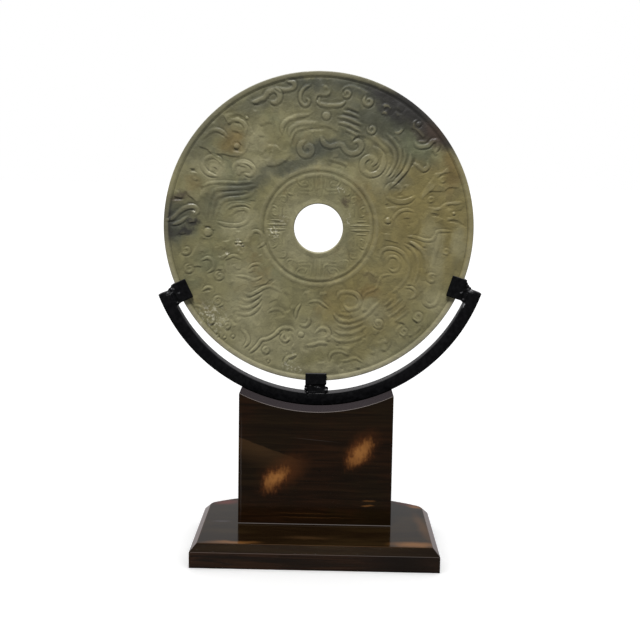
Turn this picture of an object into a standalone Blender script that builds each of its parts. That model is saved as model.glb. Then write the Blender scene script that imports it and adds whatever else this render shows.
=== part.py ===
"""A carved jade bi disc held upright by a welded steel cradle on a lacquered wood stand.

Metres, +Z up. The carved face looks along -Y. The origin is on the underside of the base, at its middle.
"""

import math

import bmesh
import bpy
from mathutils import Vector

# Driving dimensions
CLEARANCE = 0.0003  # left between two pieces that touch
SHARP_ANGLE = math.radians(35)  # edges that turn more than this are hard

DISC_RADIUS = 0.150
DISC_THICKNESS = 0.008
HOLE_RADIUS = 0.0237
DISC_CENTRE = Vector((-0.0021, 0.0112, 0.3075))
RIM_WIDTH = 0.0042
EDGE_EASE = 0.0008  # the small chamfer round the disc's edge and hole
GROUND_DEPTH = 0.0006  # how far the front's ground is cut back below the rim
RING_RADII = (0.0500, 0.0545)  # inner sides of the two ring mouldings
RING_WIDTH = 0.0022
SLOPE = 0.0003  # run of each moulding's side
LINE_DEPTH = 0.0004  # of the lines cut into the back
SQUARE_SIDE = 0.060  # the plain square frame round the hole
DISC_SEGMENTS = 80

SCROLL_WIDTH = 0.0024
SCROLL_STEP = math.radians(36)  # turn between two sections of a scroll
SCROLL_EYE = 0.34  # radius of a scroll's inner end, as a share of its size
STRAND_WIDTH = 0.0016
BUNDLE_PITCH = 0.0034
STRAND_SECTIONS = 6

BAR_SIZE = 0.012  # square steel bar
BAR_INNER_RADIUS = 0.1554
BAR_CENTRE = Vector((-0.0011, 0.0112, 0.3010))
BAR_ENDS = (math.radians(201.2), math.radians(341.2))
BAR_SEGMENTS = 40
BAR_EASE = 0.0006

LIP_THICKNESS = 0.0026
WEB_THICKNESS = 0.0030
SIDE_LIP_BITE = 0.0115  # how far a lip reaches over the disc
BOTTOM_LIP_BITE = 0.0080
CLIPS = {  # angle of the clip round the disc, its width, reach of its lips
    "left_clip": (math.radians(205.6), 0.0196, SIDE_LIP_BITE),
    "bottom_clip": (math.radians(270.0), 0.0208, BOTTOM_LIP_BITE),
    "right_clip": (math.radians(337.7), 0.0208, SIDE_LIP_BITE),
}

BASE_WIDTH = 0.2290
BASE_DEPTH = 0.1408
BASE_HEIGHT = 0.0213
BASE_BACK_RADIUS = 0.2185  # of the bowed back edge
BASE_CORNER_RADIUS = 0.005
CORNER_SEGMENTS = 4
BOW_SEGMENTS = 8  # of one half of the bowed back edge
BASE_CHAMFER = 0.0063
WOOD_EASE = 0.0008

POST_WIDTH = 0.1478
POST_THICKNESS = 0.060
POST_CENTRE_X = -0.0012
HOLLOW_SEGMENTS = 32
POST_FOOT = BASE_HEIGHT + CLEARANCE


def clear_scene():
    for thing in list(bpy.data.objects):
        bpy.data.objects.remove(thing)


def make_material(name, colour, roughness, metallic=0.0):
    material = bpy.data.materials.new(name)
    material.use_nodes = True
    shader = material.node_tree.nodes["Principled BSDF"]
    shader.inputs["Base Color"].default_value = (*colour, 1.0)
    shader.inputs["Roughness"].default_value = roughness
    shader.inputs["Metallic"].default_value = metallic
    return material


def make_object(name, shape, material):
    """Turns a bmesh into an object of the scene, faces outwards."""
    bmesh.ops.recalc_face_normals(shape, faces=shape.faces[:])
    mesh = bpy.data.meshes.new(name)
    shape.to_mesh(mesh)
    shape.free()
    thing = bpy.data.objects.new(name, mesh)
    bpy.context.scene.collection.objects.link(thing)
    mesh.materials.append(material)
    return thing


def shade_round(thing):
    thing.data.shade_smooth()
    thing.data.set_sharp_from_angle(angle=SHARP_ANGLE)


def ease_edges(thing, width):
    """A narrow bevel on every hard edge."""
    bevel = thing.modifiers.new("Eased edges", "BEVEL")
    bevel.width = width
    bevel.segments = 1
    bevel.limit_method = "ANGLE"
    bevel.angle_limit = SHARP_ANGLE


def bridge_rings(shape, rings, closed):
    """Quads between neighbouring rings of vertices, each ring a closed loop."""
    pairs = list(zip(rings, rings[1:]))
    if closed:
        pairs.append((rings[-1], rings[0]))
    for ring, following in pairs:
        for i in range(len(ring)):
            j = (i + 1) % len(ring)
            shape.faces.new((ring[i], ring[j], following[j], following[i]))


def face_point(radius, angle, depth):
    """A point given round the disc's axis. Depth is towards the back, from the disc's middle."""
    return DISC_CENTRE + Vector((radius * math.cos(angle), depth, radius * math.sin(angle)))


def moulding(inner, outer, crown, ground):
    """Section points of a raised ring between two radii, from the inside out."""
    return [(inner - SLOPE, ground), (inner, crown), (outer, crown), (outer + SLOPE, ground)]


def incised(radius, depth):
    """Section points of a narrow line cut into the flat back, from the outside in."""
    return [(radius + SLOPE, depth), (radius, depth - LINE_DEPTH), (radius - SLOPE, depth)]


def disc_section():
    """The disc's closed section as (radius, depth) points: carved front, edge, lined back, hole."""
    front = -DISC_THICKNESS / 2
    back = DISC_THICKNESS / 2
    ground = front + GROUND_DEPTH
    rim_inner = DISC_RADIUS - RIM_WIDTH
    points = [(HOLE_RADIUS, ground + EDGE_EASE), (HOLE_RADIUS + EDGE_EASE, ground)]
    for radius in RING_RADII:
        points += moulding(radius, radius + RING_WIDTH, front, ground)
    points += [(rim_inner - SLOPE, ground), (rim_inner, front)]
    points += [(DISC_RADIUS - EDGE_EASE, front), (DISC_RADIUS, front + EDGE_EASE)]
    points += [(DISC_RADIUS, back - EDGE_EASE), (DISC_RADIUS - EDGE_EASE, back)]
    for radius in (rim_inner, RING_RADII[1], RING_RADII[0]):
        points += incised(radius, back)
    points += [(HOLE_RADIUS + EDGE_EASE, back), (HOLE_RADIUS, back - EDGE_EASE)]
    return points


def ribbon(shape, path, width):
    """A raised band along a line of (x, z) points on the disc's face, standing on the ground."""
    top = DISC_CENTRE.y - DISC_THICKNESS / 2
    foot = top + 2 * GROUND_DEPTH
    sections = []
    for i, point in enumerate(path):
        along = path[min(i + 1, len(path) - 1)] - path[max(i - 1, 0)]
        side = Vector((-along.y, along.x)).normalized() * width / 2
        left, right = point + side, point - side
        corners = [(left, top), (right, top), (right, foot), (left, foot)]
        sections.append([shape.verts.new((p.x, y, p.y)) for p, y in corners])
    bridge_rings(shape, sections, closed=False)
    shape.faces.new(sections[0])
    shape.faces.new(reversed(sections[-1]))


def disc_plane(x, z):
    """Millimetres right of and above the disc's middle, as a point of its plane."""
    return Vector((DISC_CENTRE.x + x / 1000, DISC_CENTRE.z + z / 1000))


def scroll(shape, x, z, size, start, turns, hand):
    """A spiral band that winds in from its outer end. Size in millimetres, start in degrees."""
    steps = round(turns * math.tau / SCROLL_STEP)
    centre = disc_plane(x, z)
    path = []
    for i in range(steps + 1):
        share = i / steps
        angle = math.radians(start) + hand * turns * math.tau * share
        radius = size / 1000 * (1 - (1 - SCROLL_EYE) * share)
        path.append(centre + radius * Vector((math.cos(angle), math.sin(angle))))
    ribbon(shape, path, SCROLL_WIDTH)


def bundle(shape, x, z, radius, start, end, strands):
    """Parallel strands of mane along arcs about (x, z). Millimetres and degrees."""
    centre = disc_plane(x, z)
    for strand in range(strands):
        reach = radius / 1000 + strand * BUNDLE_PITCH
        path = []
        for i in range(STRAND_SECTIONS):
            angle = math.radians(start + (end - start) * i / (STRAND_SECTIONS - 1))
            path.append(centre + reach * Vector((math.cos(angle), math.sin(angle))))
        ribbon(shape, path, STRAND_WIDTH)


def square_frame(shape):
    """The plain square plate round the hole, with its corners on the diagonals."""
    top = DISC_CENTRE.y - DISC_THICKNESS / 2
    foot = top + 2 * GROUND_DEPTH
    half = SQUARE_SIDE / 2
    rings = []
    for depth, inner in ((foot, True), (top, True), (top, False), (foot, False)):
        ring = []
        for i in range(DISC_SEGMENTS):
            angle = math.tau * i / DISC_SEGMENTS
            across, up = math.cos(angle), math.sin(angle)
            radius = HOLE_RADIUS + EDGE_EASE if inner else half / max(abs(across), abs(up))
            centre = DISC_CENTRE
            ring.append(shape.verts.new((centre.x + radius * across, depth, centre.z + radius * up)))
        rings.append(ring)
    bridge_rings(shape, rings, closed=True)


def carve_field(shape):
    """The larger scrolls and manes of the two interlaced dragons."""
    for x, z, size, start, turns, hand in (
        (26, 128, 9.5, 200, 1.3, -1),
        (47, 122, 6.5, 120, 1.2, -1),
        (-46, 73, 15, 40, 1.3, -1),
        (-11, 78, 12, 60, 1.3, 1),
        (17, 84, 14, 150, 0.8, 1),
        (52, 63, 13, 100, 0.9, -1),
        (81, 37, 12, 140, 1.2, 1),
        (113, 47, 9, 60, 1.2, 1),
        (70, -28, 17, 250, 1.3, -1),
        (108, -47, 8, 60, 1.2, 1),
        (98, -85, 7, 60, 1.2, 1),
        (84, -99, 9, 120, 1.2, 1),
        (58, -92, 7, 300, 1.2, 1),
        (27, -72, 19, 30, 1.1, 1),
        (-12, -94, 8, 60, 1.2, -1),
        (-28, -108, 9, 200, 1.3, -1),
        (-50, -121, 6, 60, 1.1, 1),
        (-72, -42, 12, 130, 1.1, -1),
        (-95, -46, 7, 60, 1.2, 1),
        (-126, -24, 7.5, 20, 1.2, 1),
        (-124, -41, 7.5, 100, 1.2, 1),
        (-78, 12, 13, 120, 1.2, -1),
        (-84, 82, 15, 170, 1.1, 1),
        (-112, 52, 10, 60, 1.2, 1),
        (-48, 122, 9, 20, 1.1, 1),
        (88, 9, 12, 160, 0.8, -1),
    ):
        scroll(shape, x, z, size, start, turns, hand)
    for x, z, radius, start, end, strands in (
        (-9, 82, 18, 96, 165, 4),
        (28, 135, 26, 250, 292, 4),
        (48, 60, 29, -34, 62, 4),
        (-64, 2, 31, 102, 168, 4),
        (-66, -48, 24, 236, 312, 3),
        (33, -74, 26, 240, 300, 4),
        (62, -44, 30, 288, 330, 3),
    ):
        bundle(shape, x, z, radius, start, end, strands)


def make_disc(jade):
    shape = bmesh.new()
    rings = []
    for i in range(DISC_SEGMENTS):
        angle = math.tau * i / DISC_SEGMENTS
        rings.append([shape.verts.new(face_point(r, angle, y)) for r, y in disc_section()])
    bridge_rings(shape, rings, closed=True)
    disc = make_object("jade_disc", shape, jade)
    shade_round(disc)

    shape = bmesh.new()
    square_frame(shape)
    carve_field(shape)
    carving = make_object("carving", shape, jade)
    carving.hide_render = True
    carving.display_type = "WIRE"

    raised = disc.modifiers.new("Carving", "BOOLEAN")
    raised.operation = "UNION"
    raised.solver = "EXACT"
    raised.use_self = True  # some scrolls cross
    raised.object = carving


def make_bar(steel):
    """Square bar bent to an arc, its ends cut square."""
    shape = bmesh.new()
    half = BAR_SIZE / 2
    inner = BAR_INNER_RADIUS
    outer = inner + BAR_SIZE
    corners = [(inner, -half), (outer, -half), (outer, half), (inner, half)]
    sections = []
    for i in range(BAR_SEGMENTS + 1):
        angle = BAR_ENDS[0] + (BAR_ENDS[1] - BAR_ENDS[0]) * i / BAR_SEGMENTS
        outward = Vector((math.cos(angle), 0, math.sin(angle)))
        section = [BAR_CENTRE + reach * outward + Vector((0, y, 0)) for reach, y in corners]
        sections.append([shape.verts.new(point) for point in section])
    bridge_rings(shape, sections, closed=False)
    shape.faces.new(sections[0])
    shape.faces.new(reversed(sections[-1]))
    bar = make_object("cradle_bar", shape, steel)
    shade_round(bar)
    ease_edges(bar, BAR_EASE)


def bar_distance(angle):
    """From the disc's middle to the bar's inner side, along a direction in the disc's plane."""
    outward = Vector((math.cos(angle), 0, math.sin(angle)))
    offset = DISC_CENTRE - BAR_CENTRE
    offset.y = 0
    along = offset.dot(outward)
    return -along + math.sqrt(along**2 + BAR_INNER_RADIUS**2 - offset.length_squared)


def make_clip(name, angle, width, bite, steel):
    """A U of flat bar over the disc's edge, on a short neck that is welded to the cradle bar."""
    slot = DISC_THICKNESS / 2 + CLEARANCE
    cheek = slot + LIP_THICKNESS
    neck = BAR_SIZE / 2
    tip = DISC_RADIUS - bite
    web = DISC_RADIUS + CLEARANCE
    shoulder = web + WEB_THICKNESS
    bow = BAR_INNER_RADIUS - math.sqrt(BAR_INNER_RADIUS**2 - (width / 2) ** 2)
    foot = bar_distance(angle) - bow - CLEARANCE
    outline = [(tip, -cheek), (shoulder, -cheek), (shoulder, -neck), (foot, -neck)]
    outline += [(foot, neck), (shoulder, neck), (shoulder, cheek), (tip, cheek)]
    outline += [(tip, slot), (web, slot), (web, -slot), (tip, -slot)]
    outward = Vector((math.cos(angle), 0, math.sin(angle)))
    sideways = Vector((-math.sin(angle), 0, math.cos(angle))) * width / 2
    shape = bmesh.new()
    ends = []
    for side in (-sideways, sideways):
        corners = [DISC_CENTRE + r * outward + Vector((0, y, 0)) + side for r, y in outline]
        ends.append([shape.verts.new(corner) for corner in corners])
    bridge_rings(shape, ends, closed=False)
    shape.faces.new(ends[0])
    shape.faces.new(reversed(ends[1]))
    make_object(name, shape, steel)


def prism(shape, outline, lift):
    """Extrudes a flat outline of points along a vector."""
    face = shape.faces.new([shape.verts.new(point) for point in outline])
    extruded = bmesh.ops.extrude_face_region(shape, geom=[face])
    moved = [item for item in extruded["geom"] if isinstance(item, bmesh.types.BMVert)]
    bmesh.ops.translate(shape, verts=moved, vec=lift)


def make_post(wood):
    """The upright block, its top hollowed to seat the bar."""
    hollow = BAR_INNER_RADIUS + BAR_SIZE + CLEARANCE
    front = BAR_CENTRE.y - POST_THICKNESS / 2
    left = POST_CENTRE_X - POST_WIDTH / 2
    right = POST_CENTRE_X + POST_WIDTH / 2
    start = -math.pi + math.acos(-(left - BAR_CENTRE.x) / hollow)
    end = -math.acos((right - BAR_CENTRE.x) / hollow)
    outline = [Vector((left, front, POST_FOOT))]
    for i in range(HOLLOW_SEGMENTS + 1):
        angle = start + (end - start) * i / HOLLOW_SEGMENTS
        across = BAR_CENTRE.x + hollow * math.cos(angle)
        outline.append(Vector((across, front, BAR_CENTRE.z + hollow * math.sin(angle))))
    outline.append(Vector((right, front, POST_FOOT)))
    shape = bmesh.new()
    prism(shape, outline, Vector((0, POST_THICKNESS, 0)))
    post = make_object("upright_block", shape, wood)
    shade_round(post)
    ease_edges(post, WOOD_EASE)


def base_outline():
    """Straight front and sides, and a back that bows out between two rounded corners."""
    half = BASE_WIDTH / 2
    front, back = -BASE_DEPTH / 2, BASE_DEPTH / 2
    bow_centre = back - BASE_BACK_RADIUS
    corner = BASE_CORNER_RADIUS
    corner_x = half - corner
    corner_y = bow_centre + math.sqrt((BASE_BACK_RADIUS - corner) ** 2 - corner_x**2)
    lean = math.atan2(corner_y - bow_centre, corner_x)  # where the corner meets the bow
    right = []
    for i in range(CORNER_SEGMENTS + 1):
        angle = lean * i / CORNER_SEGMENTS
        right.append((corner_x + corner * math.cos(angle), corner_y + corner * math.sin(angle)))
    for i in range(1, BOW_SEGMENTS + 1):
        angle = lean + (math.pi / 2 - lean) * i / BOW_SEGMENTS
        across, along = math.cos(angle), math.sin(angle)
        right.append((BASE_BACK_RADIUS * across, bow_centre + BASE_BACK_RADIUS * along))
    left = [(-x, y) for x, y in reversed(right[:-1])]
    return [Vector((x, y, 0)) for x, y in [(half, front), *right, *left, (-half, front)]]


def make_base(wood):
    shape = bmesh.new()
    prism(shape, base_outline(), Vector((0, 0, BASE_HEIGHT)))
    top = [e for e in shape.edges if all(abs(v.co.z - BASE_HEIGHT) < CLEARANCE for v in e.verts)]
    bmesh.ops.bevel(shape, geom=top, offset=BASE_CHAMFER, segments=1, affect="EDGES")
    shade_round(make_object("base_board", shape, wood))


def build():
    clear_scene()
    jade = make_material("olive_jade", (0.20, 0.18, 0.09), 0.35)
    steel = make_material("black_steel", (0.012, 0.012, 0.014), 0.45, 0.3)
    post_wood = make_material("upright_wood", (0.030, 0.016, 0.008), 0.18)
    base_wood = make_material("base_wood", (0.045, 0.026, 0.016), 0.18)
    make_disc(jade)
    make_bar(steel)
    for name, (angle, width, bite) in CLIPS.items():
        make_clip(name, angle, width, bite, steel)
    make_post(post_wood)
    make_base(base_wood)


build()
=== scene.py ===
import math

import bpy
import numpy as np
from mathutils import Matrix, Vector


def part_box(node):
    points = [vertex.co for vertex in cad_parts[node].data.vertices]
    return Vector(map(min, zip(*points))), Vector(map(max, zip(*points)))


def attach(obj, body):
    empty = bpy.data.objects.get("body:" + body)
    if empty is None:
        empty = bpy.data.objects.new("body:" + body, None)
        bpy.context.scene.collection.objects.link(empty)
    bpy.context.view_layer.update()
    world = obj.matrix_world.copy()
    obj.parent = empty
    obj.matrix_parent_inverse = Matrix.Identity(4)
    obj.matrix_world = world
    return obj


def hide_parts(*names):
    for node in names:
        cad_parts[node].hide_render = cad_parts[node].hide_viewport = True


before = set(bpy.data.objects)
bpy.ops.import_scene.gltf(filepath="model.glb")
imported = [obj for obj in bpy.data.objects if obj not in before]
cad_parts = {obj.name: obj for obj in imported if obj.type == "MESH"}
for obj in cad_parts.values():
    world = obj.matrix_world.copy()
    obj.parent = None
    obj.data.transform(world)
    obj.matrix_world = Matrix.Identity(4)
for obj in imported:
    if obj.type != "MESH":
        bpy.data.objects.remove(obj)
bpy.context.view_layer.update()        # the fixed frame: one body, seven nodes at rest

mm = 0.001
hair = 1e-5  # slack in metres when edges and faces are picked by place
touching = 1e-6  # metres, points nearer than this are one


def corners(node):
    low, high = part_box(node)
    return low, high, (low + high) / 2


# Studio

studio = {
    "cameraPlace": (0.0085, -0.8228, 0.3578),
    "pitchDown": 5.46,  # degrees
    "turnLeft": 0.59,
    "roll": 0.94,
    "lens": 48.375,
    "shiftY": -0.0963,
    "floorSize": 60.0,
    "skyLight": 1.0,
    "floorGlow": 0.25,
    "floorTone": (0.93, 0.93, 0.93, 1),
    "keyPlace": (-0.35, -1.55, 3.85),
    "keyAim": (0, 0, 0.28),
    "keySize": (1.5, 1.1),
    "keyPower": 1150.0,
}


def setCamera():
    lens = bpy.data.cameras.new("studioCamera")
    lens.lens = studio["lens"]
    lens.sensor_width = 36
    lens.shift_y = studio["shiftY"]
    lens.clip_start = 0.01
    camera = bpy.data.objects.new("studioCamera", lens)
    bpy.context.scene.collection.objects.link(camera)
    turn = Matrix.Rotation(math.radians(studio["turnLeft"]), 3, "Z")
    tilt = Matrix.Rotation(math.radians(90 - studio["pitchDown"]), 3, "X")
    roll = Matrix.Rotation(math.radians(studio["roll"]), 3, "Z")
    camera.rotation_euler = (turn @ tilt @ roll).to_euler()
    camera.location = studio["cameraPlace"]
    bpy.context.scene.camera = camera


def hangLight(name, receivers):
    # a soft box that lights only the things in its own collection
    light = bpy.data.lights.new(name, "AREA")
    light.shape = "RECTANGLE"
    light.size, light.size_y = studio["keySize"]
    light.energy = studio["keyPower"]
    lamp = bpy.data.objects.new(name, light)
    bpy.context.scene.collection.objects.link(lamp)
    lamp.location = studio["keyPlace"]
    towards = Vector(studio["keyAim"]) - lamp.location
    lamp.rotation_euler = towards.to_track_quat("-Z", "Y").to_euler()
    lamp.light_linking.receiver_collection = receivers
    return lamp


def setLights():
    # one soft box for each material, none for the floor, and the lacquer doesn't mirror its own
    groups = {}
    for name, shiny in (("litStone", True), ("litSteel", True), ("litWood", False)):
        groups[name] = bpy.data.collections.new(name)
        bpy.context.scene.collection.children.link(groups[name])
        lamp = hangLight(name + "Light", groups[name])
        lamp.visible_glossy = shiny
    return groups


def setSky():
    world = bpy.data.worlds.new("studioSky")
    world.use_nodes = True
    background = world.node_tree.nodes["Background"]
    background.inputs["Color"].default_value = (1, 1, 1, 1)
    background.inputs["Strength"].default_value = studio["skyLight"]
    bpy.context.scene.world = world
    bpy.context.scene.view_settings.view_transform = "Standard"


def layFloor():
    bpy.ops.mesh.primitive_plane_add(size=studio["floorSize"], location=(0, 0, 0))
    floor = bpy.context.object
    floor.name = "studioFloor"
    paint = bpy.data.materials.new("paleFloor")
    paint.use_nodes = True
    shader = paint.node_tree.nodes["Principled BSDF"]
    shader.inputs["Base Color"].default_value = studio["floorTone"]
    shader.inputs["Roughness"].default_value = 0.9
    shader.inputs["Specular IOR Level"].default_value = 0.0
    shader.inputs["Emission Color"].default_value = (1, 1, 1, 1)
    shader.inputs["Emission Strength"].default_value = studio["floorGlow"]
    floor.data.materials.append(paint)


setCamera()
setSky()
lit = setLights()
bpy.ops.object.select_all(action="DESELECT")
layFloor()
print("studio set")


# Workshop helpers

def deselectAll():
    if bpy.context.object and bpy.context.object.mode != "OBJECT":
        bpy.ops.object.mode_set(mode="OBJECT")
    bpy.ops.object.select_all(action="DESELECT")


def select(piece):
    deselectAll()
    piece.select_set(True)
    bpy.context.view_layer.objects.active = piece


def selectEdges(piece, wanted):
    # picks the edges whose two ends pass the test, in edit mode
    bpy.ops.mesh.select_all(action="DESELECT")
    bpy.ops.mesh.select_mode(type="EDGE")
    bpy.ops.object.mode_set(mode="OBJECT")
    mesh = piece.data
    for edge in mesh.edges:
        a, b = (mesh.vertices[i].co for i in edge.vertices)
        edge.select = wanted(a, b)
    bpy.ops.object.mode_set(mode="EDIT")


def cleanNormals(piece):
    select(piece)
    bpy.ops.object.mode_set(mode="EDIT")
    bpy.ops.mesh.select_all(action="SELECT")
    bpy.ops.mesh.remove_doubles(threshold=touching)
    bpy.ops.mesh.normals_make_consistent(inside=False)
    bpy.ops.object.mode_set(mode="OBJECT")


def apply(piece, name, kind, **settings):
    # adds a modifier, sets it and applies it
    select(piece)
    change = piece.modifiers.new(name, kind)
    for setting, value in settings.items():
        setattr(change, setting, value)
    bpy.ops.object.modifier_apply(modifier=name)


def easeEdges(piece, width, angle):
    # rounds the edges sharper than angle, then shades the flats flat
    limit = math.radians(angle)
    apply(piece, "eased", "BEVEL", width=width, segments=3, limit_method="ANGLE", angle_limit=limit)
    piece.data.shade_smooth()
    piece.data.set_sharp_from_angle(angle=math.radians(30))
    apply(piece, "evened", "WEIGHTED_NORMAL", keep_sharp=True)


def cutAway(piece, cutter, name="cut"):
    apply(piece, name, "BOOLEAN", operation="DIFFERENCE", object=cutter)
    bpy.data.objects.remove(cutter)


def finishPiece(piece, paint, slot, light, *nodes):
    # place into the mesh, then paint it and hang it in the frame
    select(piece)
    bpy.ops.object.transform_apply(location=True, rotation=True, scale=True)
    piece.data.materials.clear()
    piece.data.materials.append(paint)
    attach(piece, "root")
    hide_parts(*nodes)
    lit[light].objects.link(piece)
    print("finished", piece.name)


def block(name, low, high):
    deselectAll()
    centre = [(a + b) / 2 for a, b in zip(low, high)]
    bpy.ops.mesh.primitive_cube_add(size=1, location=centre)
    piece = bpy.context.object
    piece.name = piece.data.name = name
    piece.scale = [b - a for a, b in zip(low, high)]
    bpy.ops.object.transform_apply(location=True, rotation=True, scale=True)
    return piece


# Shader building blocks

def newPaint(name, roughness):
    paint = bpy.data.materials.new(name)
    paint.use_nodes = True
    tree = paint.node_tree
    shader = tree.nodes["Principled BSDF"]
    shader.inputs["Roughness"].default_value = roughness
    place = tree.nodes.new("ShaderNodeTexCoord").outputs["Object"]
    return paint, tree, shader, place


def feed(tree, socket, value):
    # a node's output is linked, a number or colour is typed in
    if isinstance(value, bpy.types.NodeSocket):
        tree.links.new(value, socket)
    elif socket.type == "RGBA":
        socket.default_value = (*value, 1)
    else:
        socket.default_value = value


def stretched(tree, place, scale, turn=(0, 0, 0)):
    node = tree.nodes.new("ShaderNodeMapping")
    node.inputs["Rotation"].default_value = [math.radians(angle) for angle in turn]
    node.inputs["Scale"].default_value = scale
    tree.links.new(place, node.inputs["Vector"])
    return node.outputs["Vector"]


def noise(tree, place, scale, detail=3.0, rough=0.55, distortion=0.0, output="Fac"):
    node = tree.nodes.new("ShaderNodeTexNoise")
    node.inputs["Scale"].default_value = scale
    node.inputs["Detail"].default_value = detail
    node.inputs["Roughness"].default_value = rough
    node.inputs["Distortion"].default_value = distortion
    tree.links.new(place, node.inputs["Vector"])
    return node.outputs[output]


def ramp(tree, value, low, high, start=0.0, end=1.0):
    node = tree.nodes.new("ShaderNodeMapRange")
    node.interpolation_type = "SMOOTHSTEP"
    for name, number in (("From Min", low), ("From Max", high), ("To Min", start), ("To Max", end)):
        node.inputs[name].default_value = number
    feed(tree, node.inputs["Value"], value)
    return node.outputs["Result"]


def calc(tree, operation, first, second=0.0):
    node = tree.nodes.new("ShaderNodeMath")
    node.operation = operation
    feed(tree, node.inputs[0], first)
    feed(tree, node.inputs[1], second)
    return node.outputs[0]


def mix(tree, share, first, second):
    node = tree.nodes.new("ShaderNodeMix")
    node.data_type = "RGBA"
    feed(tree, node.inputs["Factor"], share)
    feed(tree, node.inputs[6], first)
    feed(tree, node.inputs[7], second)
    return node.outputs[2]


def attribute(tree, name):
    node = tree.nodes.new("ShaderNodeAttribute")
    node.attribute_name = name
    return node.outputs["Fac"]


def bump(tree, height, strength, distance, normal=None):
    node = tree.nodes.new("ShaderNodeBump")
    node.inputs["Strength"].default_value = strength
    node.inputs["Distance"].default_value = distance
    tree.links.new(height, node.inputs["Height"])
    if normal:
        tree.links.new(normal, node.inputs["Normal"])
    return node.outputs["Normal"]


def warped(tree, place, cloud, reach):
    # moves the pattern about in the front plane, up to half of reach each way
    node = tree.nodes.new("ShaderNodeVectorMath")
    node.operation = "MULTIPLY_ADD"
    tree.links.new(cloud, node.inputs[0])
    node.inputs[1].default_value = (reach, 0, reach)
    tree.links.new(place, node.inputs[2])
    back = tree.nodes.new("ShaderNodeVectorMath")
    back.operation = "SUBTRACT"
    tree.links.new(node.outputs[0], back.inputs[0])
    back.inputs[1].default_value = (reach / 2, 0, reach / 2)
    return back.outputs[0]


def leaning(tree, place, across, up, lean, scale=(1, 1, 1)):
    # the front plane seen from one of its points, turned by lean and divided by scale
    node = tree.nodes.new("ShaderNodeMapping")
    node.vector_type = "TEXTURE"
    node.inputs["Location"].default_value = (across, 0, up)
    node.inputs["Rotation"].default_value = (0, -math.radians(lean), 0)
    node.inputs["Scale"].default_value = scale
    tree.links.new(place, node.inputs["Vector"])
    return node.outputs[0]


def patch(tree, place, spot, middle=(0, 0)):
    # 1 in the middle of a leaning oval in the front plane, 0 outside it
    # spot is across, up, half width, half height, lean and softness, in mm and degrees
    across, up, halfWidth, halfHeight, lean, soft = spot
    across, up = middle[0] + across * mm, middle[1] + up * mm
    size = tree.nodes.new("ShaderNodeVectorMath")
    size.operation = "LENGTH"
    oval = leaning(tree, place, across, up, lean, (halfWidth * mm, 100, halfHeight * mm))
    tree.links.new(oval, size.inputs[0])
    return ramp(tree, size.outputs["Value"], 1 - soft, 1.0, 1.0, 0.0)


def stain(tree, colour, mask, share, tone):
    return mix(tree, calc(tree, "MULTIPLY", mask, share), colour, tone)


def split(tree, vector):
    node = tree.nodes.new("ShaderNodeSeparateXYZ")
    tree.links.new(vector, node.inputs[0])
    return node.outputs


def facing(tree):
    # the way a face looks, X, Y and Z from -1 to 1
    return split(tree, tree.nodes.new("ShaderNodeNewGeometry").outputs["True Normal"])


def band(tree, value, low, high, ease, share=1.0):
    # share between low and high, 0 outside
    rise = ramp(tree, value, low - ease, low, 0, share)
    fall = ramp(tree, value, high, high + ease, 1, 0)
    return calc(tree, "MULTIPLY", rise, fall)


def above(tree, place, across, up, lean):
    # height over a leaning line in the front plane
    return split(tree, leaning(tree, place, across, up, lean))["Z"]


# Jade disc

disc = {
    "aroundSteps": 1600,
    "frontRows": 280,
    "backRows": 180,
    "ease": 0.8 * mm,
    "ground": 0.6,  # how far the carved field lies below the rim, in mm
    "hole": 23.7,  # radius in mm
    "inside": 0.01 * mm,  # how far the mesh keeps inside the CAD's outline
    "triangles": 190000,
}
carvingCut = {  # millimetres
    "wall": 0.62,  # half the width of a step's slope
    "rise": 0.52,
    "riseReach": 3.8,
    "sink": 0.40,
    "sinkReach": 2.2,
    "endTaper": 3.0,
    "upStrength": 0.9,  # of the edges that face up, against those that face down
    "cord": 0.42,
    "cordEnd": 0.45,  # its width at the ends as a share of its full width
    "cordTaper": 7,
    "cordShoulder": 0.8,
    "cordFoot": 0.5,
    "groove": 0.34,
    "grooveWidth": 0.75,
    "curlReach": 0.72,  # a curl's outer radius as a share of its size
    "curlClosing": 0.62,  # the share of it lost with each turn
    "curlWidth": 0.24,  # half the band's width as a share of the curl's size
    "boss": 0.6,
    "bossGroove": (0.5, 0.8),  # how far beyond the boss, width
    "limit": 0.6,
}
plain = {  # the parts round the carving, radii, heights and depths in mm
    "rim": (145.0, 145.9),  # where its step starts and ends
    "rimHeight": 0.6,
    "rimGroove": (144.5, 0.6, 0.45),  # radius, width, depth
    "rings": ((49, 52), (54.5, 58.4)),
    "ringsUp": 1,  # how far their middle lies above the disc's
    "ringHeight": 0.34,
    "channel": (52.2, 54.2, 0.7),  # inner and outer radius, slope
    "channelDepth": 0.28,
    "square": (30.7, 31.6),
    "squareUp": 0.8,
    "squareDepth": 0.12,
    "collar": (27.5, 28.4),
    "collarHeight": 0.25,
    "panels": 0.5,
    "backPanels": 0.9,
    "backLines": (145.0, 58.0, 54.5, 50.0),
    "backLine": (0.5, 0.4),  # width, depth
    "backLimit": 0.5,
}
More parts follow.
